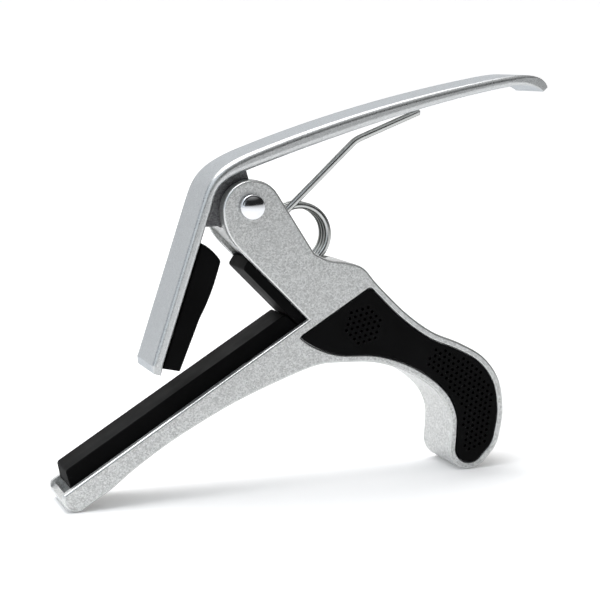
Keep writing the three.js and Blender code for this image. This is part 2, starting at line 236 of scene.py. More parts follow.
@dataclass
class Skin:
    """Points, faces, face-corner normals and edge wear gathered for one mesh.

    Attributes:
        points: blocks of points (x, y, z) in millimetres about the pin.
        wear: for each point, 1 on a rounded edge and 0 on a broad face.
        uv: for each point, a place (u, v) in millimetres that a pattern may follow.
        faces: blocks of faces, each an array of point numbers.
        normals: the unit normal of each face corner, in the same blocks.
        count: how many points there are so far.
    """

    points: list[np.ndarray] = field(default_factory=list)
    wear: list[np.ndarray] = field(default_factory=list)
    uv: list[np.ndarray] = field(default_factory=list)
    faces: list[np.ndarray] = field(default_factory=list)
    normals: list[np.ndarray] = field(default_factory=list)
    count: int = 0

    def add(self, points: np.ndarray, wear: np.ndarray | float = 0.0,
            uv: np.ndarray | None = None) -> np.ndarray:
        """Adds points.

        Args:
            points: array whose last axis is (x, y, z).
            wear: edge wear of each point.
            uv: pattern place of each point; the side view's own if left out.

        Returns:
            Their numbers, in the array's shape.
        """
        shape = points.shape[:-1]
        flat = points.reshape(-1, 3)
        self.points.append(flat)
        self.wear.append(np.broadcast_to(wear, shape).reshape(-1))
        self.uv.append(flat[:, [0, 2]] if uv is None else uv.reshape(-1, 2))
        numbers = self.count + np.arange(len(flat)).reshape(shape)
        self.count += len(flat)
        return numbers

    def face(self, numbers: np.ndarray, normals: np.ndarray) -> None:
        """Adds faces by their point numbers (n, k) and corner normals (n, k, 3)."""
        k = numbers.shape[-1]
        n = np.broadcast_to(normals, numbers.shape + (3,)).reshape(-1, k, 3)
        self.faces.append(numbers.reshape(-1, k))
        self.normals.append(n / np.maximum(np.linalg.norm(n, axis=2, keepdims=True), 1e-9))

    def grid(self, numbers: np.ndarray, normals: np.ndarray, around: bool = False,
             flip: bool = False) -> None:
        """Joins a grid of points with four-sided faces.

        Args:
            numbers: point numbers (rows, columns).
            normals: normal at each of them.
            around: True if the last column joins the first.
            flip: True to turn the faces over.
        """
        if around:
            numbers = np.hstack([numbers, numbers[:, :1]])
            normals = np.concatenate([normals, normals[:, :1]], 1)
        cells = [(slice(0, -1), slice(0, -1)), (slice(1, None), slice(0, -1)),
                 (slice(1, None), slice(1, None)), (slice(0, -1), slice(1, None))]
        if flip:
            cells = cells[::-1]
        self.face(np.stack([numbers[c] for c in cells], -1),
                  np.stack([normals[c] for c in cells], -2))

    def cap(self, loops: list[np.ndarray], toward: int) -> None:
        """Fills a flat face across Y, with holes.

        Args:
            loops: point numbers of the outer loop and then of each hole.
            toward: the sign of the face's normal along Y.
        """
        every = np.vstack(self.points)
        flat = [[Vector((x, z, 0.0)) for x, _, z in every[loop]] for loop in loops]
        tris = np.array(tessellate_polygon(flat), int)
        numbers = np.concatenate(loops)[tris]
        a, b, c = (every[numbers[:, i]][:, [0, 2]] for i in range(3))
        turn = (b[:, 0] - a[:, 0]) * (c[:, 1] - a[:, 1]) - (b[:, 1] - a[:, 1]) * (c[:, 0] - a[:, 0])
        numbers = numbers[np.abs(turn) > 1e-9]
        turn = turn[np.abs(turn) > 1e-9]
        wrong = turn * -toward < 0
        numbers[wrong] = numbers[wrong][:, ::-1]
        self.face(numbers, np.array([0.0, float(toward), 0.0]))

    def edge_rings(self, outline: Outline, levels: np.ndarray, insets: np.ndarray,
                   out: np.ndarray, across: np.ndarray, wear: np.ndarray,
                   hollow: bool = False) -> np.ndarray:
        """Carries an outline across Y as a band of rings.

        Args:
            outline: the outline.
            levels: Y of each ring (rings, 1 or points).
            insets: how far each ring is drawn in, same shape.
            out: share of each ring's normal that lies along the outline's normal.
            across: share that lies along Y.
            wear: edge wear of each ring.
            hollow: True for the wall of a hole, which faces inwards.

        Returns:
            The point numbers (rings, points). A ring's point is the outline's point less
            its inset times the miter, and its normal is out times the outline's normal
            plus across times Y.
        """
        n = len(outline.points)
        levels, insets = (np.broadcast_to(v, (len(out), n)) for v in (levels, insets))
        side = outline.points[None] - insets[..., None] * outline.miter[None]
        points = np.stack([side[..., 0], levels, side[..., 1]], -1)
        girth = np.linalg.norm(np.diff(outline.points, axis=0), axis=1)
        run = np.concatenate([[0.0], np.cumsum(girth)])
        uv = np.stack([np.broadcast_to(run, levels.shape), levels], -1)
        numbers = self.add(points, wear[:, None], uv)
        sign = -1.0 if hollow else 1.0
        after = np.roll(numbers, -1, 1)

        def normal(flat: np.ndarray) -> np.ndarray:
            """Normals of every ring for one end of each edge."""
            side_part = sign * out[:, None, None] * flat[None]
            n3 = np.stack([side_part[..., 0], np.zeros(side_part.shape[:2]), side_part[..., 1]], -1)
            n3[..., 1] += across[:, None]
            return n3

        lead, trail = normal(outline.lead), normal(outline.trail)
        order = [(numbers[:-1], lead[:-1]), (numbers[1:], lead[1:]),
                 (after[1:], trail[1:]), (after[:-1], trail[:-1])]
        if hollow:
            order = order[::-1]
        self.face(np.stack([o[0] for o in order], -1), np.stack([o[1] for o in order], -2))
        return numbers

    def slab(self, outline: Outline, near: float, far: float,
             near_round: np.ndarray | float = 0.3, far_round: np.ndarray | float = 0.3,
             near_holes: tuple[np.ndarray, ...] = (), far_holes: tuple[np.ndarray, ...] = (),
             steps: int = 6) -> None:
        """Adds a closed slab with quarter-round edges.

        Args:
            outline: its side outline.
            near: Y of its lower face.
            far: Y of its upper face.
            near_round: radius of the edge round the lower face, one or for each point.
            far_round: the same round the upper face.
            near_holes: loops of point numbers left out of the lower face.
            far_holes: the same for the upper face.
            steps: faces in a quarter round. A ring at angle a is drawn in by
                r (1 - sin a) and stands r (1 - cos a) from the face.
        """
        a = np.linspace(0.0, math.pi / 2, steps + 1)[:, None]
        rn, rf = np.atleast_1d(near_round)[None], np.atleast_1d(far_round)[None]

        def wide(rings: np.ndarray) -> np.ndarray:
            """Each ring's value, repeated for every point of the outline."""
            return np.broadcast_to(rings, (steps + 1, len(outline.points)))

        levels = np.vstack([wide(near + rn * (1 - np.cos(a))),
                            wide(far - rf * (1 - np.cos(a)))[::-1]])
        insets = np.vstack([wide(rn * (1 - np.sin(a))), wide(rf * (1 - np.sin(a)))[::-1]])
        out = np.concatenate([np.sin(a[:, 0]), np.sin(a[::-1, 0])])
        across = np.concatenate([-np.cos(a[:, 0]), np.cos(a[::-1, 0])])
        wear = np.sin(2 * np.concatenate([a[:, 0], a[::-1, 0]])) ** 0.5
        rings = self.edge_rings(outline, levels, insets, out, across, np.nan_to_num(wear))
        self.cap([rings[0], *near_holes], -1)
        self.cap([rings[-1], *far_holes], 1)

    def recess(self, outline: Outline, face: float, depth: float, radius: float,
               side: Side) -> np.ndarray:
        """Adds the wall, floor and rounded rim of a recess in a face across Y.

        Args:
            outline: the recess's wall.
            face: Y of the face that it is cut in.
            depth: how deep it is.
            radius: rounding of its rim.
            side: which way the face looks.

        Returns:
            The rim's loop of point numbers, the hole in the face round it.
        """
        s = float(side.value)
        a = np.linspace(0.0, math.pi / 2, 5)
        levels = np.append(face - s * radius * (1 - np.cos(a)), face - s * depth)
        insets = -np.append(radius * (1 - np.sin(a)), 0.0)
        out = np.append(np.sin(a), 1.0)
        across = s * np.append(np.cos(a), 0.0)
        wear = np.append(np.sin(2 * a), 0.0)
        rows = slice(None) if side is Side.FRONT else slice(None, None, -1)
        rings = self.edge_rings(outline, levels[rows, None], insets[rows, None], out[rows],
                                across[rows], np.abs(wear[rows]), hollow=True)
        rim, floor = (rings[0], rings[-1]) if side is Side.FRONT else (rings[-1], rings[0])
        self.cap([floor], side.value)
        return rim

    def pits(self, centres: np.ndarray, face: float, radius: float, depth: float,
             side: Side) -> list[np.ndarray]:
        """Adds small round pits in a face across Y, all at once.

        Args:
            centres: their centres in the side view (pits, 2).
            face: Y of the face.
            radius: radius at the rim.
            depth: depth at the middle.
            side: which way the face looks.

        Returns:
            The rim loop of each pit. A ring at angle b has radius r cos b and lies
            d sin b deep.
        """
        s = float(side.value)
        b = np.radians([0.0, 28.0, 56.0, 90.0])
        turn = np.linspace(0, 2 * math.pi, 10, endpoint=False)
        ring = radius * np.maximum(np.cos(b), 0.02)[:, None]
        x = centres[:, 0, None, None] + ring * np.cos(turn)
        z = centres[:, 1, None, None] + ring * np.sin(turn)
        y = np.broadcast_to((face - s * depth * np.sin(b))[:, None], x.shape)
        numbers = self.add(np.stack([x, y, z], -1))
        lean = np.cos(b)[:, None]
        normal = np.stack([-lean * np.cos(turn), s * (0.35 + np.sin(b))[:, None] + 0 * turn,
                           -lean * np.sin(turn)], -1)
        for pit in numbers:
            self.grid(pit, normal, around=True, flip=side is Side.REAR)
            self.cap([pit[-1]], side.value)
        return [pit[0] for pit in numbers]

    def turned(self, profile: np.ndarray, crease: float = 30.0, turns: int = 72,
               centre: tuple[float, float] = (0.0, 0.0)) -> None:
        """Adds a body of revolution about an axis along Y.

        Args:
            profile: (radius, y) points of the profile, starting and ending on the axis or
                closing on itself; the body lies on its left.
            crease: sharpest turn in degrees that is shaded smooth.
            turns: faces in a full turn.
            centre: the axis in the side view.
        """
        closed = np.allclose(profile[0], profile[-1])
        d = np.diff(profile, axis=0)
        d /= np.maximum(np.linalg.norm(d, axis=1, keepdims=True), 1e-9)
        flat = np.stack([d[:, 1], -d[:, 0]], 1)
        mean = flat[:-1] + flat[1:]
        mean /= np.maximum(np.linalg.norm(mean, axis=1, keepdims=True), 1e-9)
        soft = (flat[:-1] * flat[1:]).sum(1, keepdims=True) > math.cos(math.radians(crease))
        start = np.vstack([flat[:1], np.where(soft, mean, flat[1:])])
        end = np.vstack([np.where(soft, mean, flat[:-1]), flat[-1:]])
        t = np.linspace(0, 2 * math.pi, turns, endpoint=False)
        rows = profile[:-1] if closed else profile
        x = centre[0] + rows[:, 0, None] * np.cos(t)
        z = centre[1] + rows[:, 0, None] * np.sin(t)
        y = np.broadcast_to(rows[:, 1, None], x.shape)
        numbers = self.add(np.stack([x, y, z], -1))
        if closed:
            numbers = np.vstack([numbers, numbers[:1]])
        after, t1 = np.roll(numbers, -1, 1), np.roll(t, -1)

        def spun(side: np.ndarray, angle: np.ndarray) -> np.ndarray:
            """Profile normals carried round the axis."""
            return np.stack([side[:, 0, None] * np.cos(angle), side[:, 1, None] + 0 * angle,
                             side[:, 0, None] * np.sin(angle)], -1)

        corners = [(numbers[:-1], spun(start, t)), (after[:-1], spun(start, t1)),
                   (after[1:], spun(end, t1)), (numbers[1:], spun(end, t))]
        corners = corners[::-1]
        self.face(np.stack([c[0] for c in corners], -1), np.stack([c[1] for c in corners], -2))

    def wire(self, path: np.ndarray, radius: float, sides: int = 20) -> None:
        """Adds a round wire with domed ends along a path.

        Args:
            path: points (x, y, z) of its axis.
            radius: radius of the wire.
            sides: faces round it. A ring lies in the plane across the path, spanned by
                the part of Y across the path and the cross product of path and that.
        """
        run = np.concatenate([[0.0], np.cumsum(np.linalg.norm(np.diff(path, axis=0), axis=1))])
        d = np.gradient(path, run, axis=0)
        d /= np.linalg.norm(d, axis=1, keepdims=True)
        up = np.array([0.0, 1.0, 0.0]) - d * d[:, 1:2]
        up /= np.linalg.norm(up, axis=1, keepdims=True)
        side = np.cross(d, up)
        dome = np.radians(np.linspace(85, 0, 5))
        pull = np.concatenate([-radius * np.sin(dome) * 0.6, np.zeros(len(path) - 2),
                               radius * np.sin(dome[::-1]) * 0.6])
        size = np.concatenate([radius * np.cos(dome), np.full(len(path) - 2, radius),
                               radius * np.cos(dome[::-1])])
        which = np.concatenate([np.zeros(5, int), np.arange(1, len(path) - 1),
                                np.full(5, len(path) - 1)])
        t = np.linspace(0, 2 * math.pi, sides, endpoint=False)
        round_ = (np.cos(t)[None, :, None] * up[which][:, None]
                  + np.sin(t)[None, :, None] * side[which][:, None])
        axis = path[which] + d[which] * pull[:, None]
        points = axis[:, None] + size[:, None, None] * round_
        lean = np.clip(pull / (0.6 * radius), -1, 1)[:, None, None]
        normal = round_ * np.sqrt(1 - lean**2) + lean * d[which][:, None]
        uv = np.stack([np.broadcast_to(run[which][:, None], points.shape[:2]),
                       np.broadcast_to(t * radius, points.shape[:2])], -1)
        numbers = self.add(points, 0.0, uv)
        self.grid(numbers, normal, around=True, flip=True)
        ends = np.stack([numbers[0], numbers[-1][::-1]])
        tips = np.stack([-d[:1], d[-1:]])
        for loop, tip in zip(ends, tips):
            fan = np.stack([np.full(sides - 2, loop[0]), loop[2:], loop[1:-1]], -1)
            self.face(fan, tip[0])

    def make(self, name: str, material: bpy.types.Material) -> bpy.types.Object:
        """Turns the gathered skin into an object in the row frame.

        Args:
            name: the object's name.
            material: its material.

        Returns:
            The object, at the origin, in metres.
        """
        points = np.vstack(self.points) * MM + PIVOT
        faces = [f for block in self.faces for f in block.tolist()]
        mesh = bpy.data.meshes.new(name)
        mesh.from_pydata(points.tolist(), [], faces, shade_flat=False)
        corners = np.concatenate([n.reshape(-1, 3) for n in self.normals])
        numbers = np.concatenate([f.reshape(-1) for f in self.faces])
        layer = mesh.uv_layers.new(name="pattern")
        places = np.vstack(self.uv)[numbers] * MM
        layer.data.foreach_set("uv", places.astype(np.float32).ravel())
        wear = mesh.attributes.new("wear", "FLOAT", "POINT")
        wear.data.foreach_set("value", np.concatenate(self.wear).astype(np.float32))
        mesh.normals_split_custom_set(corners.tolist())
        mesh.materials.append(material)
        obj = bpy.data.objects.new(name, mesh)
        bpy.context.scene.collection.objects.link(obj)
        return obj


# ---------------------------------------------------------------- finishes


class Nodes:
    """Short ways to add and join the nodes of one material."""

    def __init__(self, name: str) -> None:
        """Starts a material with a Principled shader."""
        self.material = bpy.data.materials.new(name)
        self.material.use_nodes = True
        self.tree = self.material.node_tree
        self.shader = self.tree.nodes["Principled BSDF"]
        self.coords = self.tree.nodes.new("ShaderNodeTexCoord")

    def add(self, kind: str, **inputs: object) -> bpy.types.Node:
        """Adds a node.

        Args:
            kind: its type name after "ShaderNode".
            inputs: socket values by name, underscores for spaces; a socket is joined.

        Returns:
            The node.
        """
        node = self.tree.nodes.new("ShaderNode" + kind)
        for key, value in inputs.items():
            self.put(node, key.replace("_", " "), value)
        return node

    def put(self, node: bpy.types.Node, socket: str, value: object) -> None:
        """Sets a socket's value, or joins another socket to it."""
        if isinstance(value, bpy.types.NodeSocket):
            self.tree.links.new(value, node.inputs[socket])
        else:
            node.inputs[socket].default_value = value

    def noise(self, scale: float, detail: float = 2.0, vector: object = None,
              rough: float = 0.5) -> bpy.types.NodeSocket:
        """Noise on object coordinates, its size given by the scale for each metre."""
        where = self.coords.outputs["Object"] if vector is None else vector
        node = self.add("TexNoise", Vector=where, Scale=scale, Detail=detail, Roughness=rough)
        return node.outputs["Fac"]

    def cells(self, scale: float) -> bpy.types.NodeSocket:
        """A random grey for each cell of a Voronoi pattern on object coordinates."""
        node = self.add("TexVoronoi", Vector=self.coords.outputs["Object"], Scale=scale)
        split = self.add("SeparateColor", Color=node.outputs["Color"])
        return split.outputs["Red"]

    def span(self, value: bpy.types.NodeSocket, low: float, high: float,
             start: float = 0.0, end: float = 1.0) -> bpy.types.NodeSocket:
        """Maps start to end onto low to high, clamped."""
        node = self.add("MapRange", Value=value)
        for i, v in enumerate((start, end, low, high), 1):
            node.inputs[i].default_value = v
        return node.outputs["Result"]

    def tint(self, factor: bpy.types.NodeSocket, dark: Colour, light: Colour
             ) -> bpy.types.NodeSocket:
        """Blends two colours by a factor."""
        node = self.tree.nodes.new("ShaderNodeMix")
        node.data_type = "RGBA"
        self.tree.links.new(factor, node.inputs[0])
        node.inputs[6].default_value = (*dark, 1.0)
        node.inputs[7].default_value = (*light, 1.0)
        return node.outputs[2]

    def blend(self, factor: bpy.types.NodeSocket, first: object, second: object
              ) -> bpy.types.NodeSocket:
        """Blends two numbers or number sockets by a factor."""
        node = self.tree.nodes.new("ShaderNodeMix")
        self.tree.links.new(factor, node.inputs[0])
        for i, value in ((2, first), (3, second)):
            if isinstance(value, bpy.types.NodeSocket):
                self.tree.links.new(value, node.inputs[i])
            else:
                node.inputs[i].default_value = value
        return node.outputs[0]

    def bump(self, height: bpy.types.NodeSocket, depth_mm: float, strength: float,
             under: bpy.types.NodeSocket | None = None) -> bpy.types.NodeSocket:
        """Turns a height of 0 to 1 into a normal, on top of another bump."""
        node = self.add("Bump", Height=height, Distance=depth_mm * MM, Strength=strength)
        if under is not None:
            self.put(node, "Normal", under)
        return node.outputs["Normal"]


@dataclass(frozen=True)
class BlastedSilver:
    """Cast metal with a fine blasted, pearly silver coat, smoother along its edges.

    Attributes:
        slot: the record's material slot.
        dark: colour of the darkest grains.
        light: colour of the lightest grains.
        metallic: how metallic the coat is.
        rough: roughness of its broad faces.
        edge_rough: roughness of its rounded edges.
        grain: grains to a metre.
    """

    slot: str = "cast_silver"
    dark: Colour = (0.36, 0.365, 0.362)
    light: Colour = (0.755, 0.762, 0.753)
    metallic: float = 0.8
    rough: float = 0.4
    edge_rough: float = 0.24
    grain: float = 3600.0

    def build(self) -> bpy.types.Material:
        """Makes the material: speckle from random cells and noise, wear from edges."""
        n = Nodes(self.slot)
        edge = n.add("Attribute")
        edge.attribute_name = "wear"
        worn = n.span(edge.outputs["Fac"], 0.0, 1.0, 0.15, 0.9)
        cells = n.cells(self.grain)
        fine = n.noise(self.grain * 0.8, 3.0)
        cloud = n.noise(160.0, 3.0)
        speck = n.blend(n.span(cloud, 0.1, 0.4), cells, fine)
        speck = n.blend(worn, speck, 0.72)
        n.put(n.shader, "Base Color", n.tint(speck, self.dark, self.light))
        n.shader.inputs["Metallic"].default_value = self.metallic
        n.shader.inputs["Specular IOR Level"].default_value = 0.5
        flat_rough = n.span(fine, self.rough - 0.07, self.rough + 0.07, 0.3, 0.7)
        n.put(n.shader, "Roughness", n.blend(worn, flat_rough, self.edge_rough))
        strength = n.span(worn, 0.8, 0.12)
        grain = n.bump(fine, 0.03, 0.5)
        n.put(grain.node, "Strength", strength)
        n.put(n.shader, "Normal", n.bump(n.noise(420.0, 2.0), 0.03, 0.12, grain))
        return n.material


@dataclass(frozen=True)
class SatinSilver:
    """The lever's silver coat: finer grained and glossier than the body's.

    Attributes:
        slot: name of the finish.
        dark: colour of the darkest grains.
        light: colour of the lightest grains.
        rough: roughness of its faces.
        edge: tint of what it mirrors at a glancing angle.
    """

    slot: str = "lever_silver"
    dark: Colour = (0.46, 0.47, 0.47)
    light: Colour = (0.62, 0.632, 0.632)
    rough: float = 0.3
    edge: Tint = (0.58, 0.61, 0.65, 1.0)

    def build(self) -> bpy.types.Material:
        """Makes the material: faint grain, smooth edges, a slightly wavy surface."""
        n = Nodes(self.slot)
        fine = n.noise(3400.0, 3.0)
        cells = n.cells(3800.0)
        speck = n.blend(n.span(fine, 0.2, 0.8), cells, 0.5)
        n.put(n.shader, "Base Color", n.tint(speck, self.dark, self.light))
        n.shader.inputs["Metallic"].default_value = 0.88
        n.shader.inputs["Specular Tint"].default_value = self.edge
        n.put(n.shader, "Roughness", n.span(fine, self.rough - 0.05, self.rough + 0.06, 0.3, 0.7))
        grain = n.bump(fine, 0.006, 0.3)
        n.put(n.shader, "Normal", n.bump(n.noise(260.0, 2.0), 0.03, 0.1, grain))
        return n.material


@dataclass(frozen=True)
class PolishedSteel:
    """Bright plated steel of the pin's head, with the faintest polishing marks.

    Attributes:
        slot: the record's material slot.
        colour: its tint.
        rough: its roughness.
    """

    slot: str = "polished_steel"
    colour: Colour = (0.80, 0.81, 0.83)
    rough: float = 0.07

    def build(self) -> bpy.types.Material:
        """Makes the material: mirror metal, hairline marks in roughness and bump."""
        n = Nodes(self.slot)
        smudge = n.noise(900.0, 4.0)
        n.put(n.shader, "Base Color", n.tint(n.span(smudge, 0.0, 1.0, 0.3, 0.7),
                                            tuple(0.93 * c for c in self.colour), self.colour))
        n.shader.inputs["Metallic"].default_value = 1.0
        n.put(n.shader, "Roughness", n.span(smudge, self.rough, self.rough + 0.09, 0.35, 0.75))
        n.put(n.shader, "Normal", n.bump(n.noise(2600.0, 2.0), 0.001, 0.1))
        return n.material


@dataclass(frozen=True)
class SpringWire:
    """Drawn steel wire, with fine lines that run along it.

    Attributes:
        slot: the record's material slot.
        colour: its tint.
        rough: its roughness.
        edge: tint of what it mirrors at a glancing angle; near black, as painted shade along the
            wire's outline.
    """

    slot: str = "spring_steel"
    colour: Colour = (0.54, 0.55, 0.54)
    rough: float = 0.19
    # Painted shade: the near-black glancing tint darkens the wire's outline.
    edge: Tint = (0.10, 0.10, 0.09, 1.0)

    def build(self) -> bpy.types.Material:
        """Makes the material: noise stretched along the wire's own map."""
        n = Nodes(self.slot)
        place = n.add("Mapping", Vector=n.coords.outputs["UV"], Scale=(60.0, 3200.0, 1.0))
        drawn = n.noise(1.0, 3.0, place.outputs["Vector"])
        stain = n.noise(300.0, 3.0)
        n.put(n.shader, "Base Color", n.tint(n.span(stain, 0.0, 1.0, 0.3, 0.75),
                                            tuple(0.86 * c for c in self.colour), self.colour))
        n.shader.inputs["Metallic"].default_value = 1.0
        n.shader.inputs["Specular Tint"].default_value = self.edge
        n.put(n.shader, "Roughness", n.span(drawn, self.rough - 0.04, self.rough + 0.1, 0.3, 0.7))
        n.put(n.shader, "Normal", n.bump(drawn, 0.006, 0.25))
        return n.material


@dataclass(frozen=True)
class Rubber:
    """Black moulded rubber.

    Attributes:
        slot: the record's material slot.
        dark: its darkest colour.
        light: its lightest, where dust and rubbing have greyed it.
        rough: its roughness.
        grain: size of the moulded grain, to a metre.
        grain_mm: height of that grain.
    """

    slot: str = "pad_rubber"
    dark: Colour = (0.0015, 0.0015, 0.0016)
    light: Colour = (0.0035, 0.0035, 0.0037)
    rough: float = 0.58
    grain: float = 2400.0
    grain_mm: float = 0.012

    def build(self) -> bpy.types.Material:
        """Makes the material: cloudy greys, moulded grain and softly varied gloss."""
        n = Nodes(self.slot)
        cloud = n.noise(130.0, 4.0)
        fine = n.noise(self.grain, 2.0)
        n.put(n.shader, "Base Color", n.tint(n.span(cloud, 0.0, 1.0, 0.35, 0.7),
                                            self.dark, self.light))
        n.shader.inputs["Metallic"].default_value = 0.0
        n.shader.inputs["Specular IOR Level"].default_value = 0.05
        n.put(n.shader, "Roughness", n.span(cloud, self.rough - 0.05, self.rough + 0.08, 0.3, 0.7))
        soft = n.bump(n.noise(340.0, 2.0), 0.03, 0.15)
        n.put(n.shader, "Normal", n.bump(fine, self.grain_mm, 0.5, soft))
        return n.material


PAD_RUBBER = Rubber()
GRIP_RUBBER = Rubber(slot="grip_rubber", rough=0.46, grain=2800.0, grain_mm=0.007)
# Painted shade: the lever's lug is coloured near black so that it looks shaded between the ears.
SHADED_LUG_CASTING = BlastedSilver(slot="lug_painted_shade", dark=(0.06, 0.06, 0.063),
                             light=(0.21, 0.21, 0.215), metallic=0.9, rough=0.45, edge_rough=0.3)


# ---------------------------------------------------------------- the capo's own shapes


@dataclass
class Piece:
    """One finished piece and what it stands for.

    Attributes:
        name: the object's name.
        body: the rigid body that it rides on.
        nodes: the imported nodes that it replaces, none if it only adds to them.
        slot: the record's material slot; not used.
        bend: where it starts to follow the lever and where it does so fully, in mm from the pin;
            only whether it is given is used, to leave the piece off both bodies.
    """

    name: str
    body: Body
    nodes: tuple[str, ...]
    slot: str
    bend: tuple[np.ndarray, ...] = ()

    def fit(self, skin: Skin, material: bpy.types.Material) -> bpy.types.Object:
        """Makes the object, hides the nodes it replaces and lets it ride on its body, or leaves it
        in the row frame if it has a bend.
        """
        obj = skin.make(self.name, material)
        if self.bend:
            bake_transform(obj)
        else:
            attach(obj, self.body.value)
        if self.nodes:
            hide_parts(*self.nodes)
        log.info("%s: %d points, rides on %s", self.name, skin.count, self.body.value)
        return obj


@dataclass
class SideView:
    """The lines that the castings and the pads share.

    Attributes:
        ear_angle: slope of the ear's edge that faces the neck.
        ear_setback: that edge's distance from the pin's axis.
        throat: from the pin to the inside corner, along that edge.
        jaw_angle: slope of the string bar.
        jaw_length: inside corner to the end of the bar's flat edge.
        arm_angle: slope of the lever's short arm.
        arm_setback: that arm's inner face from the pin's axis.
        channel: depth of the pad channels.
        gap: clearance between pieces.
    """

    ear_angle: float = 46.9
    ear_setback: float = 8.76
    throat: float = 28.1
    jaw_angle: float = 30.8
    jaw_length: float = 67.4
    arm_angle: float = 70.3
    arm_setback: float = 8.46
    channel: float = 1.2
    gap: float = 0.3

    @property
    def pin(self) -> np.ndarray:
        """The pin's axis, the origin of the side view."""
        return np.zeros(2)

    @property
    def corner(self) -> np.ndarray:
        """The inside corner between upright and bar."""
        return self.on_ear(self.throat)

    def on_ear(self, along: float, out: float = 0.0) -> np.ndarray:
        """Point along the ear's edge, and out from it towards the neck."""
        return station(self.pin, -self.ear_angle, along, -self.ear_setback - out)

    def on_jaw(self, along: float, up: float = 0.0) -> np.ndarray:
        """Point along the bar from the corner, and up from its edge."""
        return station(self.corner, 180 + self.jaw_angle, along, -up)

    def on_arm(self, along: float, out: float = 0.0) -> np.ndarray:
        """Point down the short arm, and out from its inner face towards the neck."""
        return station(self.pin, 180 + self.arm_angle, along, -self.arm_setback + out)

    def from_corner(self, x: float, z: float) -> np.ndarray:
        """Point at a distance from the inside corner."""
        return self.corner + np.array([x, z])


@dataclass
class Handle:
    """The hook handle's two free edges, and the outline of the inlay set into it.

    Attributes:
        view: the shared lines.
        foot_radius: radius of the hook's round foot.
        foot_angle: where the handle's outer edge runs into the foot.
        margin: from the handle's edge to the inlay.
        nose: the inlay's point, along the bar from the corner.
        drop: the inlay's upper edge below the bar's edge.
    """

    view: SideView
    foot_radius: float = 5.3
    foot_angle: float = -38.0
    margin: float = 1.75
    nose: float = 3.6
    drop: float = 2.3

    @property
    def foot(self) -> np.ndarray:
        """Centre of the foot."""
        return self.view.from_corner(39.6, -33.6)

    def back_knots(self) -> np.ndarray:
        """Points that the outer edge passes through, from the flank to the foot."""
        at = ((13.6, 11.0), (17.2, 6.8), (23.8, 0.0), (30.5, -5.1), (37.4, -8.3), (43.5, -12.2),
              (47.4, -17.9), (48.5, -25.0), (47.5, -31.2), (46.2, -34.3))
        last = station(self.foot, self.foot_angle, self.foot_radius)
        return np.vstack([[self.view.from_corner(*p) for p in at], last])

    def arch_knots(self) -> np.ndarray:
        """Points that the inner edge passes through, from the foot to the bar."""
        at = ((34.7, -29.6), (34.7, -25.8), (33.0, -21.6), (29.2, -17.6), (23.4, -13.9),
              (16.2, -11.3), (8.6, -10.6))
        first = station(self.foot, 180.0, self.foot_radius)
        return np.vstack([first, [self.view.from_corner(*p) for p in at]])

    def inlay(self, margin: float) -> Outline:
        """The inlay's outline: the handle's edges moved in, closed by a straight edge
        along the bar with a rounded top corner and by a curved belly.

        Args:
            margin: how far in from the handle's edge.

        Returns:
            The outline.
        """
        v, grow = self.view, self.margin - margin
        upper = beside(spline(self.back_knots()), margin)
        lower = beside(spline(self.arch_knots()), margin)
        upper, lower = upper[int(0.12 * len(upper)):], lower[: int(0.97 * len(lower))]
        edge = v.on_jaw(0, -self.drop + grow)
        nose = v.on_jaw(self.nose + 2.2 * grow, -self.drop - grow)
        top = meet(edge, v.jaw_angle, upper[0], -48.0)
        rounded = bezier(station(top, 180 + v.jaw_angle, 0.9), top, station(top, -48.0, 0.9), n=9)
        foot = arc(self.foot, self.foot_radius - margin, self.foot_angle, -180.0, 40)
        belly = bezier(lower[-1], lower[-1] + [-4.5, 0.1], nose + [2.2, -2.3], nose, n=24)
        return Outline(nose, line(v.on_jaw(self.nose - 0.5, -self.drop + grow), rounded[0]),
                       rounded[1:], upper[upper[:, 0] > top[0] + 1.0], foot[1:-1], lower,
                       belly[1:-1])


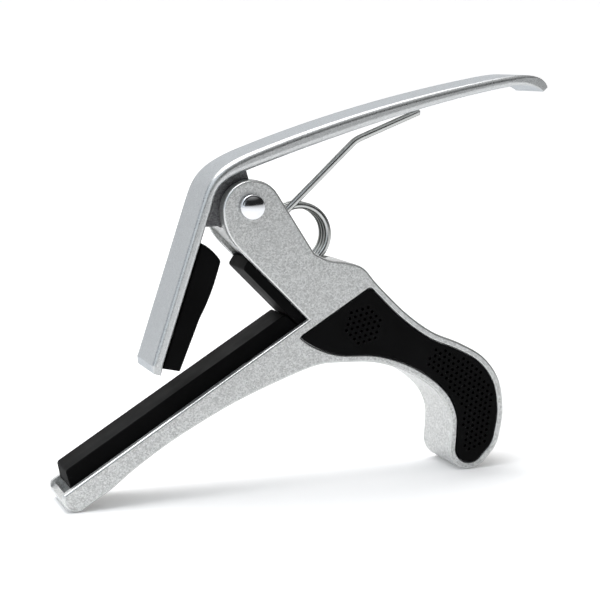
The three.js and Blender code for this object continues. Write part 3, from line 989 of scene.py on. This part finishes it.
@dataclass
class CastBody:
    """The cast body: two ears, a web between them, the string bar and the hook handle.

    It is built as closed slabs side by side: an outer plate on each side that carries the
    ear, the channel's wall and the inlay's recess; a cheek behind each, as thick as the
    ear; and a core between the cheeks, cut away where the lug and the coil sit.

    Attributes:
        view: the shared lines.
        handle: the handle's edges.
        width: overall width across Y.
        pad_width: width of the pads in the channels.
        ear_thick: thickness of each ear.
        boss_radius: round top of the ears.
        boss: centre of that round, from the pin.
        flank_angle: slope of the normal of the ear's far flank.
        flank_length: its straight length.
        bar_mid: the bar's depth at its thinnest.
        tip_radius: round end of the bar.
        web: thickness of the web between the ears.
        web_top: its top edge below the pin.
        coil: the coil's axis, from the pin.
        coil_room: radius of the pocket's floor under the coil.
        recess: depth of the inlay's recess.
        recess_edge: rounding of its rim.
        recess_gap: between its wall and the inlay.
        notch: depth of the notch in the bar's channel past the pad's end.
        edge: rounding of the outer edges.
        rim: rounding of the ears' inner edges and of the channel walls.
        lap: how far neighbouring slabs run into each other.
    """

    view: SideView
    handle: Handle
    width: float = 16.0
    pad_width: float = 12.0
    ear_thick: float = 3.4
    boss_radius: float = 6.9
    boss: tuple[float, float] = (0.35, -0.95)
    flank_angle: float = 31.0
    flank_length: float = 16.3
    bar_mid: float = 4.6
    tip_radius: float = 3.05
    web: float = 1.85
    web_top: float = 4.6
    coil: tuple[float, float] = (13.3, -7.6)
    coil_room: float = 8.1
    recess: float = 1.2
    recess_edge: float = 0.38
    recess_gap: float = 0.08
    notch: float = 2.2
    edge: float = 0.55
    rim: float = 0.4
    lap: float = 0.02

    def outline(self) -> Outline:
        """The whole body seen from the side."""
        v, h = self.view, self.handle
        boss, r = np.array(self.boss), self.boss_radius
        left = boss + [-r, 0.0]
        flank = station(boss, self.flank_angle, r, -self.flank_length)
        back = spline(np.vstack([flank, v.from_corner(5.4, 13.4), v.from_corner(9.6, 12.6),
                                 h.back_knots()]))
        share = ((0.06, 10.1), (0.2, 7.8), (0.36, 5.9), (0.5, 5.0), (0.63, self.bar_mid),
                 (0.76, 4.85), (0.86, 5.5))
        under = [v.on_jaw(t * v.jaw_length, -depth) for t, depth in share]
        low = spline(np.vstack([h.arch_knots(), under, v.on_jaw(v.jaw_length - 4.2, -5.5)]))
        end = 180 + v.jaw_angle - 52
        tip = arc(v.on_jaw(v.jaw_length - 1.8, -2.6), self.tip_radius, -62.0, end - 360, 30)
        return Outline(
            line(v.corner, v.on_ear(5.6)),
            bezier(v.on_ear(5.6), v.on_ear(2.4), left + [0.0, -4.2], left),
            arc(boss, r, 180.0, self.flank_angle, 70),
            line(station(boss, self.flank_angle, r), flank), back,
            arc(h.foot, h.foot_radius, h.foot_angle, -180.0, 60), low, tip,
            line(tip[-1], v.corner))

    def behind_channel(self, whole: Outline) -> np.ndarray:
        """The whole outline with what stands in the channels pushed back to their floor.

        Args:
            whole: the whole body's outline.

        Returns:
            Its points; one above the ear's or the bar's channel floor is moved straight
            down onto it, and the corner onto the corner of the two floors.
        """
        v, p = self.view, whole.points.copy()
        out, up = self.depths(p)
        ear_n, jaw_n = (v.on_ear(0, 1) - v.on_ear(0)), (v.on_jaw(0, 1) - v.corner)
        near_ear = (np.abs(out + v.channel / 2) < v.channel / 2 + 0.05) & (p[:, 0] < v.corner[0])
        near_jaw = np.abs(up + v.channel / 2) < v.channel / 2 + 0.05
        along = (p - v.corner) @ direction(180 + v.jaw_angle)
        near_jaw &= along > 0.0
        past_pad = near_jaw & (np.abs(along - v.jaw_length + 1.35) < 0.75)
        p[near_ear] -= (out[near_ear] + v.channel)[:, None] * ear_n
        p[near_jaw] -= (up[near_jaw] + v.channel)[:, None] * jaw_n
        p[past_pad] -= self.notch * jaw_n
        inner = meet(v.on_ear(0, -v.channel), -v.ear_angle, v.on_jaw(0, -v.channel), v.jaw_angle)
        at = np.linalg.norm(whole.points - v.corner, axis=1) < 1.8
        p[at] = inner
        return p

    def depths(self, p: np.ndarray) -> tuple[np.ndarray, np.ndarray]:
        """Heights of points above the ear's edge and above the bar's edge."""
        v = self.view
        return ((p - v.on_ear(0)) @ (v.on_ear(0, 1) - v.on_ear(0)),
                (p - v.corner) @ (v.on_jaw(0, 1) - v.corner))

    def core(self, cheek: np.ndarray) -> Outline:
        """The core's outline: the cheek's, cut down to the web and the coil's pocket.

        Args:
            cheek: points of the outline behind the channels, anticlockwise.

        Returns:
            The outline. Above the web's top nothing is left; behind the web the cheek is
            cut along the pocket's floor, flat under the coil and rising past it.
        """
        v = self.view
        inner = v.on_ear(0, -v.channel - self.web)
        floor = self.coil[1] - self.coil_room
        top = meet(inner, -v.ear_angle, np.array([0.0, -self.web_top]), 0.0)
        low = meet(inner, -v.ear_angle, np.array([0.0, floor]), 0.0)
        rise = np.array([self.coil[0] + 12.0, floor + 2.5])
        far = np.array([self.coil[0] + 24.0, 20.0])
        level = np.interp(cheek[:, 0], [self.coil[0], rise[0], far[0]], [floor, rise[1], far[1]])
        on_web = self.depths(cheek)[0] > -v.channel - self.web
        keep = np.where(on_web, cheek[:, 1] < -self.web_top, cheek[:, 1] < level)
        start = int(np.flatnonzero(keep & ~np.roll(keep, 1))[0])
        ring = np.roll(cheek, -start, 0)[np.roll(keep, -start)]
        split = int(np.argmax(np.linalg.norm(np.roll(ring, -1, 0) - ring, axis=1)))
        ring = np.roll(ring, -split - 1, 0)
        web_end = meet(v.on_ear(0, -v.channel), -v.ear_angle, np.array([0.0, -self.web_top]), 0.0)
        cut = [web_end, top, low, np.array([self.coil[0], floor])]
        if np.linalg.norm(ring[0] - web_end) < np.linalg.norm(ring[-1] - web_end):
            cut = cut[::-1]
        return Outline(ring, np.vstack(cut))

    def skin(self) -> Skin:
        """Builds the plates, cheeks and core."""
        skin, whole = Skin(), self.outline()
        half, wall = self.width / 2, self.pad_width / 2 + self.view.gap
        slot = half - self.ear_thick
        cheek = Outline(self.behind_channel(whole))
        hole = self.handle.inlay(self.handle.margin - self.recess_gap)
        out, up = self.depths(whole.points)
        in_mouth = np.minimum(np.abs(out), np.abs(up)) < 0.05
        in_mouth &= whole.points[:, 0] < self.view.corner[0] + 0.2
        inner = np.where(in_mouth, self.rim, SHARP)
        for side in Side:
            s = side.value
            rim = skin.recess(hole, s * half, self.recess, self.recess_edge, side)
            if side is Side.FRONT:
                skin.slab(whole, -half, -wall, self.edge, inner, near_holes=(rim,))
            else:
                skin.slab(whole, wall, half, inner, self.edge, far_holes=(rim,))
            near, far = sorted((s * (wall + self.lap), s * slot))
            skin.slab(cheek, near, far, SHARP, SHARP)
        skin.slab(self.core(cheek.points), -slot - self.lap, slot + self.lap, SHARP, SHARP)
        return skin


@dataclass
class Lever:
    """The bent lever: long thumb arm with a curled tip, short arm, and lug on the pin.

    Attributes:
        view: the shared lines.
        width: width of the strip across Y.
        arm_end: end of the short arm, down it from the pin.
        arm_thick: its thickness.
        root: top of the long arm over the pin.
        root_thick: thickness there.
        tip_thick: thickness before the curl.
        reach: pin to the start of the curl.
        rise: top of the arm there, above the pin.
        curl: length of the curled tip.
        lug_radius: radius of the lug.
        lug_width: its width across Y.
        lug_edge: rounding of its edges.
        round_long: rounding of the long arm's edges.
        round_arm: rounding of the short arm's edges.
        end_bevel: bevel at the short arm's end, along it and across it.
    """

    view: SideView
    width: float = 15.0
    arm_end: float = 41.8
    arm_thick: float = 2.5
    root: tuple[float, float] = (0.0, 11.85)
    root_thick: float = 3.65
    tip_thick: float = 2.6
    reach: float = 61.1
    rise: float = 26.6
    curl: float = 12.6
    lug_radius: float = 5.2
    lug_width: float = 8.6
    lug_edge: float = 0.25
    round_long: float = 1.45
    round_arm: float = 0.95
    end_bevel: tuple[float, float] = (1.6, 0.8)

    def outline(self) -> Outline:
        """The strip seen from the side: straight short arm, round bend, long arm that
        bows between two tangents, and a tip that curls down to a narrow end."""
        v = self.view
        end = v.on_arm(self.arm_end)
        end_out = v.on_arm(self.arm_end - self.end_bevel[0], -self.arm_thick)
        corner = v.on_arm(self.arm_end, self.end_bevel[1] - self.arm_thick)
        bend_in, bend_out = v.on_arm(1.0), v.on_arm(1.0, -self.arm_thick)
        root = np.array(self.root)
        under = np.array([0.2, root[1] - self.root_thick])
        lip_top = np.array([self.reach, self.rise])
        lip_under = np.array([self.reach + 0.4, self.rise - self.tip_thick])
        tip = np.array([self.reach + self.curl, self.rise - 2.7])
        inner = meet(bend_in, v.arm_angle, under, 17.5)
        outer = meet(bend_out, v.arm_angle, root, 21.0)
        return Outline(
            line(end, bend_in),
            bezier(bend_in, mix(bend_in, inner, 0.8), mix(under, inner, 0.78), under, n=44),
            bezier(under, meet(under, 18.0, lip_under, 9.0), lip_under, n=60),
            bezier(lip_under, lip_under + [4.5, 0.7], tip + [-4.2, 1.4], tip + [-1.1, -0.9], n=24),
            bezier(tip, tip + [-1.1, 3.9], lip_top + [5.0, 0.75], lip_top, n=30),
            bezier(lip_top, meet(root, 19.0, lip_top, 8.5), root, n=60),
            bezier(root, mix(root, outer, 0.76), mix(bend_out, outer, 0.76), bend_out, n=50),
            line(bend_out, end_out), corner)

    def lug(self) -> Outline:
        """The lug under the bend, flat where it rests on the web."""
        v, low = self.view, -4.3
        stop = -180 + math.degrees(math.asin(-low / self.lug_radius))
        inner = meet(v.on_arm(0, -1.2), v.arm_angle, np.array([0.0, low]), 0.0)
        return Outline(np.array([-0.4, self.root[1] - 1.6]), np.array([0.9, self.lug_radius]),
                       arc(np.zeros(2), self.lug_radius, 80.0, stop, 60), inner,
                       v.on_arm(-3, -1.2), np.array([-6.2, 8.4]))

    def edge_round(self, outline: Outline) -> np.ndarray:
        """Rounding at each point: large on the long arm, small down the short arm, eased
        between by a smooth step, and less towards the thin ends of both."""
        p = outline.points
        along = p @ direction(self.view.arm_angle)
        t = np.clip((along + 6.0) / 12.0, 0, 1)
        t = t * t * (3 - 2 * t)
        thin = np.clip((self.reach + self.curl - p[:, 0]) / 9.0, 0.2, 1)
        taper = 1.0 - 0.2 * np.clip(p[:, 0] / self.reach, 0, 1)
        taper *= np.clip((along + self.arm_end + 0.6) / 3.0, 0.2, 1)
        return (self.round_arm + (self.round_long - self.round_arm) * t) * thin * taper

    def skin(self) -> Skin:
        """Builds the strip."""
        skin, strip = Skin(), self.outline()
        r = self.edge_round(strip)
        skin.slab(strip, -self.width / 2, self.width / 2, r, r, steps=9)
        return skin

    def lug_skin(self) -> Skin:
        """Builds the lug."""
        skin = Skin()
        half = self.lug_width / 2
        skin.slab(self.lug(), -half, half, self.lug_edge, self.lug_edge)
        return skin


@dataclass
class Pin:
    """The pivot pin: domed head in front, riveted end and washer behind.

    Attributes:
        radius: radius of the shank.
        head: radius of the head.
        dome: height of its rounded part.
        crown: how far its top falls to the shoulder.
        shoulder: rounding of the shoulder.
        rim: height of the straight rim under it.
        face: where the head sits, from the middle.
        washer: outer radius of the washer.
        washer_thick: its thickness.
        rivet: height of the round end that is riveted over it.
    """

    radius: float = 2.0
    head: float = 2.85
    dome: float = 1.3
    crown: float = 0.55
    shoulder: float = 0.4
    rim: float = 0.35
    face: float = 8.3
    washer: float = 3.5
    washer_thick: float = 0.8
    rivet: float = 0.9

    def skin(self) -> Skin:
        """Turns the pin: the top falls with the square of the radius, by crown at the
        shoulder, and a quarter round joins it to the rim."""
        skin, top = Skin(), -(self.face + self.rim + self.dome)
        a = np.radians(np.linspace(0.0, 90.0, 20))
        inner = self.head - self.shoulder
        r = np.linspace(0.0, inner, 24)
        round_ = np.stack([inner + self.shoulder * np.sin(a[3:]),
                           top + self.crown + self.shoulder * (1 - np.cos(a[3:]))], 1)
        dome = np.vstack([np.stack([r, top + self.crown * (r / inner) ** 2], 1), round_])
        tail = -top
        rivet = np.stack([self.radius * np.cos(a),
                          tail - self.rivet + self.rivet * np.sin(a)], 1)
        rivet[-1, 0] = 0.0
        under = np.array([[self.head - 0.04, -self.face - 0.03], [self.head - 0.12, -self.face],
                          [self.radius, -self.face]])
        skin.turned(np.vstack([dome, under, rivet]))
        return skin

    def washer_skin(self) -> Skin:
        """Turns the washer, its outer corner rounded by a quarter circle."""
        skin, f, r = Skin(), self.face, 0.3
        a = np.radians(np.linspace(0.0, 90.0, 7))
        corner = np.stack([self.washer - r + r * np.cos(a),
                           f + self.washer_thick - r + r * np.sin(a)], 1)
        hole = self.radius + 0.3
        ring = np.vstack([[hole, f], [self.washer, f], corner,
                          [hole, f + self.washer_thick], [hole, f]])
        skin.turned(ring)
        return skin


@dataclass
class Spring:
    """The torsion spring: an upper leg against the lever, a coil, and an anchored leg.

    Attributes:
        wire: diameter of the wire.
        radius: mean radius of the coil.
        coil: its axis, from the pin.
        turns: whole turns besides the part between the legs.
        leg_angle: slope of the upper leg.
        leg_length: its length to the elbow.
        end_length: length past the elbow.
        end_angle: slope past the elbow.
        anchor_angle: slope of the anchored leg.
        anchor_length: its length.
        gap: between the coil's turns.
        bend_angle: slope of the line along which the upper leg bends with the lever.
        bend_reach: where that bend starts and ends on the line, from the coil's axis.
    """

    wire: float = 1.6
    radius: float = 6.7
    coil: tuple[float, float] = (13.3, -7.6)
    turns: int = 3
    leg_angle: float = 41.7
    leg_length: float = 24.2
    end_length: float = 16.6
    end_angle: float = 20.3
    anchor_angle: float = -40.0
    anchor_length: float = 15.0
    gap: float = 0.3
    bend_angle: float = 110.0
    bend_reach: tuple[float, float] = (6.9, 13.6)

    def path(self) -> np.ndarray:
        """The wire's axis: a straight leg, a helix about Y whose Y falls evenly with its
        angle, a straight leg, a short bend and a straight end."""
        axis = np.array(self.coil)
        first, last = 270 + self.anchor_angle, self.leg_angle + 90
        sweep = 360 * self.turns + first - last
        side = (self.wire + self.gap) * sweep / 720
        t = np.linspace(0.0, 1.0, 260)
        round_ = axis + self.radius * np.stack([np.cos(np.radians(first - sweep * t)),
                                                np.sin(np.radians(first - sweep * t))], 1)
        anchor = station(round_[0], self.anchor_angle, self.anchor_length)
        elbow = station(round_[-1], self.leg_angle, self.leg_length)
        before = station(elbow, self.leg_angle + 180, 1.4)
        after = station(elbow, self.end_angle, 1.4)
        tip = station(elbow, self.end_angle, self.end_length)
        leg = np.vstack([line(round_[-1], before, 1.0), bezier(before, elbow, after, n=12)[1:-1],
                         line(after, tip, 1.0)])
        low = line(anchor, round_[0], 1.0)
        flat = np.vstack([low[:-1], round_, leg[1:]])
        y = np.concatenate([np.full(len(low) - 1, side), side - 2 * side * t,
                            np.full(len(leg) - 1, -side)])
        return np.stack([flat[:, 0], y, flat[:, 1]], 1)

    def bend(self) -> tuple[np.ndarray, np.ndarray]:
        """Where the upper leg starts to follow the lever and where it follows it fully:
        two places on a steep line from the coil's axis, the first at the coil's top, so
        that the coil stays with the body."""
        ends = (station(np.array(self.coil), self.bend_angle, t) for t in self.bend_reach)
        return tuple(np.array([p[0], 0.0, p[1]]) for p in ends)

    def skin(self) -> Skin:
        """Carries the round wire along its path."""
        skin = Skin()
        skin.wire(self.path(), self.wire / 2)
        return skin


@dataclass
class Pads:
    """The three rubber pads.

    Attributes:
        view: the shared lines.
        width: of the string pad and the side pad.
        string: height of the string pad above the bar's edge.
        string_slant: how far its end leans back.
        draft: how much narrower its top is, on each side.
        short: from the bar's end to the pad's.
        side: height of the side pad above the ear's edge.
        side_top: its top end, along the ear.
        side_slant: how far that end leans.
        neck_width: width of the neck pad.
        neck_ends: its ends, down the short arm.
        neck_thick: its greatest thickness.
        edge: rounding of the pads' edges.
        neck_edge: rounding of the neck pad's.
        corner: how far from their corners the pads' side view starts to round.
    """

    view: SideView
    width: float = 12.0
    string: float = 3.4
    string_slant: float = 1.5
    draft: float = 1.0
    short: float = 1.9
    side: float = 2.2
    side_top: float = 8.4
    side_slant: float = 0.7
    neck_width: float = 13.0
    neck_ends: tuple[float, float] = (11.0, 40.3)
    neck_thick: float = 6.0
    edge: float = 0.3
    neck_edge: float = 0.6
    corner: float = 0.7

    def corners(self, outline: np.ndarray, radius: float) -> Outline:
        """Rounds every corner of a polygon with a short quadratic curve.

        Args:
            outline: its corners.
            radius: how far from each corner the curve starts.

        Returns:
            The rounded outline.
        """
        before, after = np.roll(outline, 1, 0), np.roll(outline, -1, 0)
        starts, ends = (outline + radius * (other - outline)
                        / np.linalg.norm(other - outline, axis=1)[:, None]
                        for other in (before, after))
        return Outline(*[bezier(p, c, q, n=6) for p, c, q in zip(starts, outline, ends)])

    def string_skin(self) -> Skin:
        """The string pad: a bar narrowed in Y in proportion to its height above the
        casting's edge."""
        v, skin = self.view, Skin()
        low, face = v.gap - v.channel, v.on_ear(0, self.side + v.gap)
        end = v.jaw_length - self.short
        shape = self.corners(np.array([
            meet(face, -v.ear_angle, v.on_jaw(0, low), v.jaw_angle),
            meet(face, -v.ear_angle, v.on_jaw(0, self.string), v.jaw_angle),
            v.on_jaw(end - self.string_slant, self.string), v.on_jaw(end, low)]), self.corner)
        skin.slab(shape, -self.width / 2, self.width / 2, self.edge, self.edge)
        up = v.on_jaw(0, 1) - v.corner
        for block in skin.points:
            rise = np.maximum((block[:, [0, 2]] - v.corner) @ up, 0) / self.string
            block[:, 1] *= 1 - rise * 2 * self.draft / self.width
        return skin

    def side_skin(self) -> Skin:
        """The side pad: a short wedge on the ear's edge, down to the bar."""
        v, skin = self.view, Skin()
        low = v.gap - v.channel
        foot = v.on_jaw(0, low)
        shape = self.corners(np.array([
            v.on_ear(self.side_top, low), v.on_ear(self.side_top + self.side_slant, self.side),
            meet(v.on_ear(0, self.side), -v.ear_angle, foot, v.jaw_angle),
            meet(v.on_ear(0, low), -v.ear_angle, foot, v.jaw_angle)]), self.corner)
        skin.slab(shape, -self.width / 2, self.width / 2, self.edge, self.edge)
        return skin

    def neck_skin(self) -> Skin:
        """The neck pad: flat on the short arm, humped near its top, straight below."""
        v, skin = self.view, Skin()
        top, end = self.neck_ends

        def at(t: float, h: float) -> np.ndarray:
            """Point at shares of the pad's length and thickness."""
            return v.on_arm(top + t * (end - top), h * self.neck_thick)

        hump = spline(np.vstack([at(0.55, 0.86), at(0.43, 0.95), at(0.28, 1.0), at(0.1, 0.99)]))
        crown = bezier(hump[-1], at(0.08, 0.99), at(0.055, 0.8), at(0.015, 0.45),
                       at(0.005, 0.2), n=14)[1:]
        shape = Outline(v.on_arm(top, v.gap), v.on_arm(end, v.gap), at(0.985, 0.72), hump, crown)
        half = self.neck_width / 2
        skin.slab(shape, -half, half, self.neck_edge, self.neck_edge)
        return skin


@dataclass
class Inlay:
    """A rubber grip inlay with two groups of small pits.

    Attributes:
        handle: the handle it is set into.
        face: Y of its outer face, from the middle.
        thick: its thickness.
        edge: rounding round its outer face.
        back_edge: rounding round its inner face.
        pitch: distance between pits.
        pit_radius: radius of a pit.
        pit_depth: depth of a pit.
        round_group: centre of the round group, from the inside corner.
        round_radius: radius of that group.
        margin: from the inlay's edge to the nearest pit of the long group.
    """

    handle: Handle
    face: float = 8.3
    thick: float = 1.2
    edge: float = 0.35
    back_edge: float = 0.1
    pitch: float = 1.42
    pit_radius: float = 0.36
    pit_depth: float = 0.28
    round_group: tuple[float, float] = (13.1, -2.2)
    round_radius: float = 4.3
    margin: float = 1.15

    def lattice(self, centre: np.ndarray, reach: float, turn: float) -> np.ndarray:
        """Points of a triangular lattice about a centre.

        Args:
            centre: a point of the lattice.
            reach: half its extent.
            turn: angle of its rows in degrees.

        Returns:
            The points: whole steps of two vectors sixty degrees apart.
        """
        n = int(reach / self.pitch) + 2
        i, j = (g.reshape(-1, 1) for g in np.mgrid[-n : n + 1, -n : n + 1])
        return centre + self.pitch * (i * direction(turn) + j * direction(turn + 60))

    def pit_centres(self) -> np.ndarray:
        """Places of all pits: those of one lattice within the round group, and those of
        another inside the hook, clear of its edge and past the start of the group."""
        view = self.handle.view
        middle = view.from_corner(*self.round_group)
        first = self.lattice(middle, reach=8.0, turn=12.0)
        first = first[np.linalg.norm(first - middle, axis=1) < self.round_radius]
        hook = self.lattice(view.from_corner(38.0, -20.0), reach=34.0, turn=-40.0)
        shape = self.handle.inlay(self.handle.margin + self.margin)
        hook = hook[shape.inside(hook)]
        start, slope = view.from_corner(27.6, -13.0), direction(48.0)
        past = (hook - start) @ np.array([slope[1], -slope[0]]) > 0
        above = hook[:, 1] > self.handle.foot[1] - 0.6
        return np.vstack([first, hook[past & above]])

    def skin(self, side: Side) -> Skin:
        """Builds the inlay for one side, its pits as holes in the outer face."""
        skin, shape, s = Skin(), self.handle.inlay(self.handle.margin), side.value
        rims = tuple(skin.pits(self.pit_centres(), s * self.face, self.pit_radius,
                               self.pit_depth, side))
        back = s * (self.face - self.thick)
        if side is Side.FRONT:
            skin.slab(shape, s * self.face, back, self.edge, self.back_edge,
                      near_holes=rims)
        else:
            skin.slab(shape, back, s * self.face, self.back_edge, self.edge,
                      far_holes=rims)
        return skin


# ---------------------------------------------------------------- studio


@dataclass
class Studio:
    """Pale floor and backdrop, soft lights and the camera.

    Attributes:
        azimuth: where the camera stands, turned from the front, in degrees.
        elevation: how far above the level it stands.
        tilt: how far the capo is turned in its own plane from the camera's level.
        focal: focal length for a 36 mm wide film.
        stand: the camera's place from the pin, in the camera's own level frame, in mm.
    """

    azimuth: float = -19.0
    elevation: float = 8.0
    tilt: float = 1.5394
    focal: float = 105.0
    stand: tuple[float, float, float] = (-116.345, -378.989, 33.689)

    def level(self, v: np.ndarray) -> np.ndarray:
        """Turns a vector from the camera's level frame into the row frame, about Y."""
        c, s = math.cos(math.radians(self.tilt)), math.sin(math.radians(self.tilt))
        return np.array([c * v[0] + s * v[2], v[1], -s * v[0] + c * v[2]])

    def camera(self) -> None:
        """Makes the camera from its place and its three axes."""
        a, e = math.radians(self.azimuth), math.radians(self.elevation)
        back = np.array([math.sin(a) * math.cos(e), -math.cos(a) * math.cos(e), math.sin(e)])
        right = np.array([math.cos(a), math.sin(a), 0.0])
        axes = [self.level(v) for v in (right, np.cross(back, right), back)]
        place = PIVOT + self.level(np.array(self.stand)) * MM
        data = bpy.data.cameras.new("camera")
        data.lens, data.sensor_width, data.clip_start = self.focal, 36.0, 0.01
        obj = bpy.data.objects.new("camera", data)
        matrix = Matrix([[*(float(axis[i]) for axis in axes), float(place[i])] for i in range(3)]
                        + [[0.0, 0.0, 0.0, 1.0]])
        obj.matrix_world = matrix
        bpy.context.scene.collection.objects.link(obj)
        bpy.context.scene.camera = obj

    def floor(self) -> None:
        """Makes one smooth sweep: level floor, quarter round, upright backdrop; its glow is painted
        light.
        """
        t = np.linspace(0.0, math.pi / 2, 24)
        y = np.concatenate([[-2.5], 1.3 + 0.9 * np.sin(t), [2.2]])
        z = np.concatenate([[0.0], 0.9 * (1 - np.cos(t)), [3.2]])
        x = np.linspace(-3.0, 3.0, 2)
        points = np.stack([np.broadcast_to(x[:, None], (2, len(y))),
                           np.broadcast_to(y, (2, len(y))), np.broadcast_to(z, (2, len(y)))], -1)
        grid = np.arange(2 * len(y)).reshape(2, -1)
        quads = np.stack([grid[:-1, :-1], grid[1:, :-1], grid[1:, 1:], grid[:-1, 1:]], -1)
        mesh = bpy.data.meshes.new("floor")
        mesh.from_pydata(points.reshape(-1, 3).tolist(), [], quads.reshape(-1, 4).tolist(),
                         shade_flat=False)
        n = Nodes("floor_paper")
        tone = n.noise(6.0, 2.0)
        n.put(n.shader, "Base Color", n.tint(tone, (0.90, 0.90, 0.90), (0.93, 0.93, 0.93)))
        n.shader.inputs["Roughness"].default_value = 0.9
        n.shader.inputs["Specular IOR Level"].default_value = 0.1
        # Painted light: the paper glows, warm-tinted and stronger towards the back, lightening the
        # capo's shadows on it.
        n.shader.inputs["Emission Color"].default_value = (1.0, 0.99, 0.975, 1.0)
        depth = n.add("SeparateXYZ", Vector=n.coords.outputs["Object"])
        n.put(n.shader, "Emission Strength", n.span(depth.outputs["Y"], 0.12, 0.54, 0.25, 0.9))
        mesh.materials.append(n.material)
        obj = bpy.data.objects.new("floor", mesh)
        bpy.context.scene.collection.objects.link(obj)

    def lamp(self, name: str, place: tuple[float, float, float], size: tuple[float, float],
             power: float, tint: Colour = (1.0, 1.0, 1.0)) -> None:
        """Adds a soft rectangular lamp that faces the middle of the capo.

        Args:
            name: its name.
            place: where it hangs, in metres.
            size: its width and height.
            power: watts.
            tint: colour of its light.
        """
        data = bpy.data.lights.new(name, "AREA")
        data.shape, data.size, data.size_y, data.energy = "RECTANGLE", *size, power
        data.color = tint
        obj = bpy.data.objects.new(name, data)
        obj.location = place
        aim = Vector((0.0, 0.0, 0.045)) - Vector(place)
        obj.rotation_euler = aim.to_track_quat("-Z", "Y").to_euler()
        bpy.context.scene.collection.objects.link(obj)

    def ramp(self, value: bpy.types.NodeSocket, span: tuple[float, ...]
             ) -> bpy.types.NodeSocket:
        """Maps a value of the sky, clamped.

        Args:
            value: the socket that gives it.
            span: its start and end, and what these become.

        Returns:
            The result's socket.
        """
        tree = value.id_data
        node = tree.nodes.new("ShaderNodeMapRange")
        tree.links.new(value, node.inputs["Value"])
        for i, v in enumerate(span, 1):
            node.inputs[i].default_value = v
        return node.outputs["Result"]

    def world(self) -> None:
        """Makes a pale sky, bright overhead and dark low down in front, so that metal shows
        its form: the largest of a ramp along Y and two along Z, one of them the horizon.
        Its left side is tinted a cool blue."""
        world = bpy.data.worlds.new("studio")
        world.use_nodes = True
        tree = world.node_tree
        coords = tree.nodes.new("ShaderNodeTexCoord")
        split = tree.nodes.new("ShaderNodeSeparateXYZ")
        tree.links.new(coords.outputs["Generated"], split.inputs[0])
        glow = None
        for axis, span in (("Y", (-0.35, 0.6, 0.02, 0.6)), ("Z", (0.4, 0.85, 0.0, 0.6)),
                           ("Z", (0.0, 0.07, 0.75, 0.0))):
            brightest = tree.nodes.new("ShaderNodeMath")
            brightest.operation = "MAXIMUM"
            brightest.inputs[1].default_value = 0.0
            tree.links.new(self.ramp(split.outputs[axis], span), brightest.inputs[0])
            if glow is not None:
                tree.links.new(glow, brightest.inputs[1])
            glow = brightest.outputs["Value"]
        tint = tree.nodes.new("ShaderNodeMix")
        tint.data_type = "RGBA"
        tint.inputs["A"].default_value = (1.0, 1.0, 1.0, 1.0)
        tint.inputs["B"].default_value = (0.84, 0.92, 1.08, 1.0)
        left = self.ramp(split.outputs["X"], (-0.9, 0.1, 1.0, 0.0))
        tree.links.new(left, tint.inputs["Factor"])
        hue = tree.nodes.new("ShaderNodeVectorMath")
        hue.operation = "SCALE"
        tree.links.new(tint.outputs["Result"], hue.inputs[0])
        tree.links.new(glow, hue.inputs["Scale"])
        background = tree.nodes["Background"]
        tree.links.new(hue.outputs["Vector"], background.inputs["Color"])
        background.inputs["Strength"].default_value = 1.0
        bpy.context.scene.world = world

    def build(self) -> None:
        """Sets up everything round the capo."""
        self.world()
        self.floor()
        self.camera()
        self.lamp("top_softbox", (-0.15, 0.12, 0.75), (0.8, 0.6), 6.0)
        self.lamp("left_softbox", (-0.75, -0.55, 0.45), (1.1, 0.9), 3.0, (0.88, 0.95, 1.0))
        scene = bpy.context.scene
        scene.view_settings.view_transform = "Standard"


def main() -> None:
    """Builds every sub-assembly in order, then the studio."""
    logging.basicConfig(level=logging.INFO, format="%(name)s %(message)s")
    view = SideView()
    handle = Handle(view)
    lever, pin, spring, pads, inlay = Lever(view), Pin(), Spring(), Pads(view), Inlay(handle)
    blasted, satin = BlastedSilver().build(), SatinSilver().build()
    chrome, wire = PolishedSteel().build(), SpringWire().build()
    pad, grip, lug_shade = PAD_RUBBER.build(), GRIP_RUBBER.build(), SHADED_LUG_CASTING.build()

    pieces = (
        (Piece("cast_body", Body.FRAME, ("body",), "cast_silver"),
         CastBody(view, handle).skin(), blasted),
        (Piece("bent_lever", Body.LEVER, ("lever",), "cast_silver"), lever.skin(), satin),
        # The lug's near-black finish is painted shade.
        (Piece("lever_lug", Body.LEVER, (), "cast_silver"), lever.lug_skin(), lug_shade),
        (Piece("domed_pin", Body.FRAME, ("pivot_pin",), "polished_steel"), pin.skin(), chrome),
        (Piece("rear_washer", Body.FRAME, ("pin_washer",), "polished_steel"),
         pin.washer_skin(), chrome),
        (Piece("wire_spring", Body.FRAME, ("spring",), "spring_steel", spring.bend()),
         spring.skin(), wire),
        (Piece("string_rubber", Body.FRAME, ("string_pad",), "pad_rubber"),
         pads.string_skin(), pad),
        (Piece("side_rubber", Body.FRAME, ("side_pad",), "pad_rubber"), pads.side_skin(), pad),
        (Piece("neck_rubber", Body.LEVER, ("neck_pad",), "pad_rubber"), pads.neck_skin(), pad),
        (Piece("front_inlay", Body.FRAME, ("grip_front",), "grip_rubber"),
         inlay.skin(Side.FRONT), grip),
        (Piece("rear_inlay", Body.FRAME, ("grip_rear",), "grip_rubber"),
         inlay.skin(Side.REAR), grip),
    )
    for piece, skin, material in pieces:
        piece.fit(skin, material)
    Studio().build()


if __name__ == "__main__":
    main()
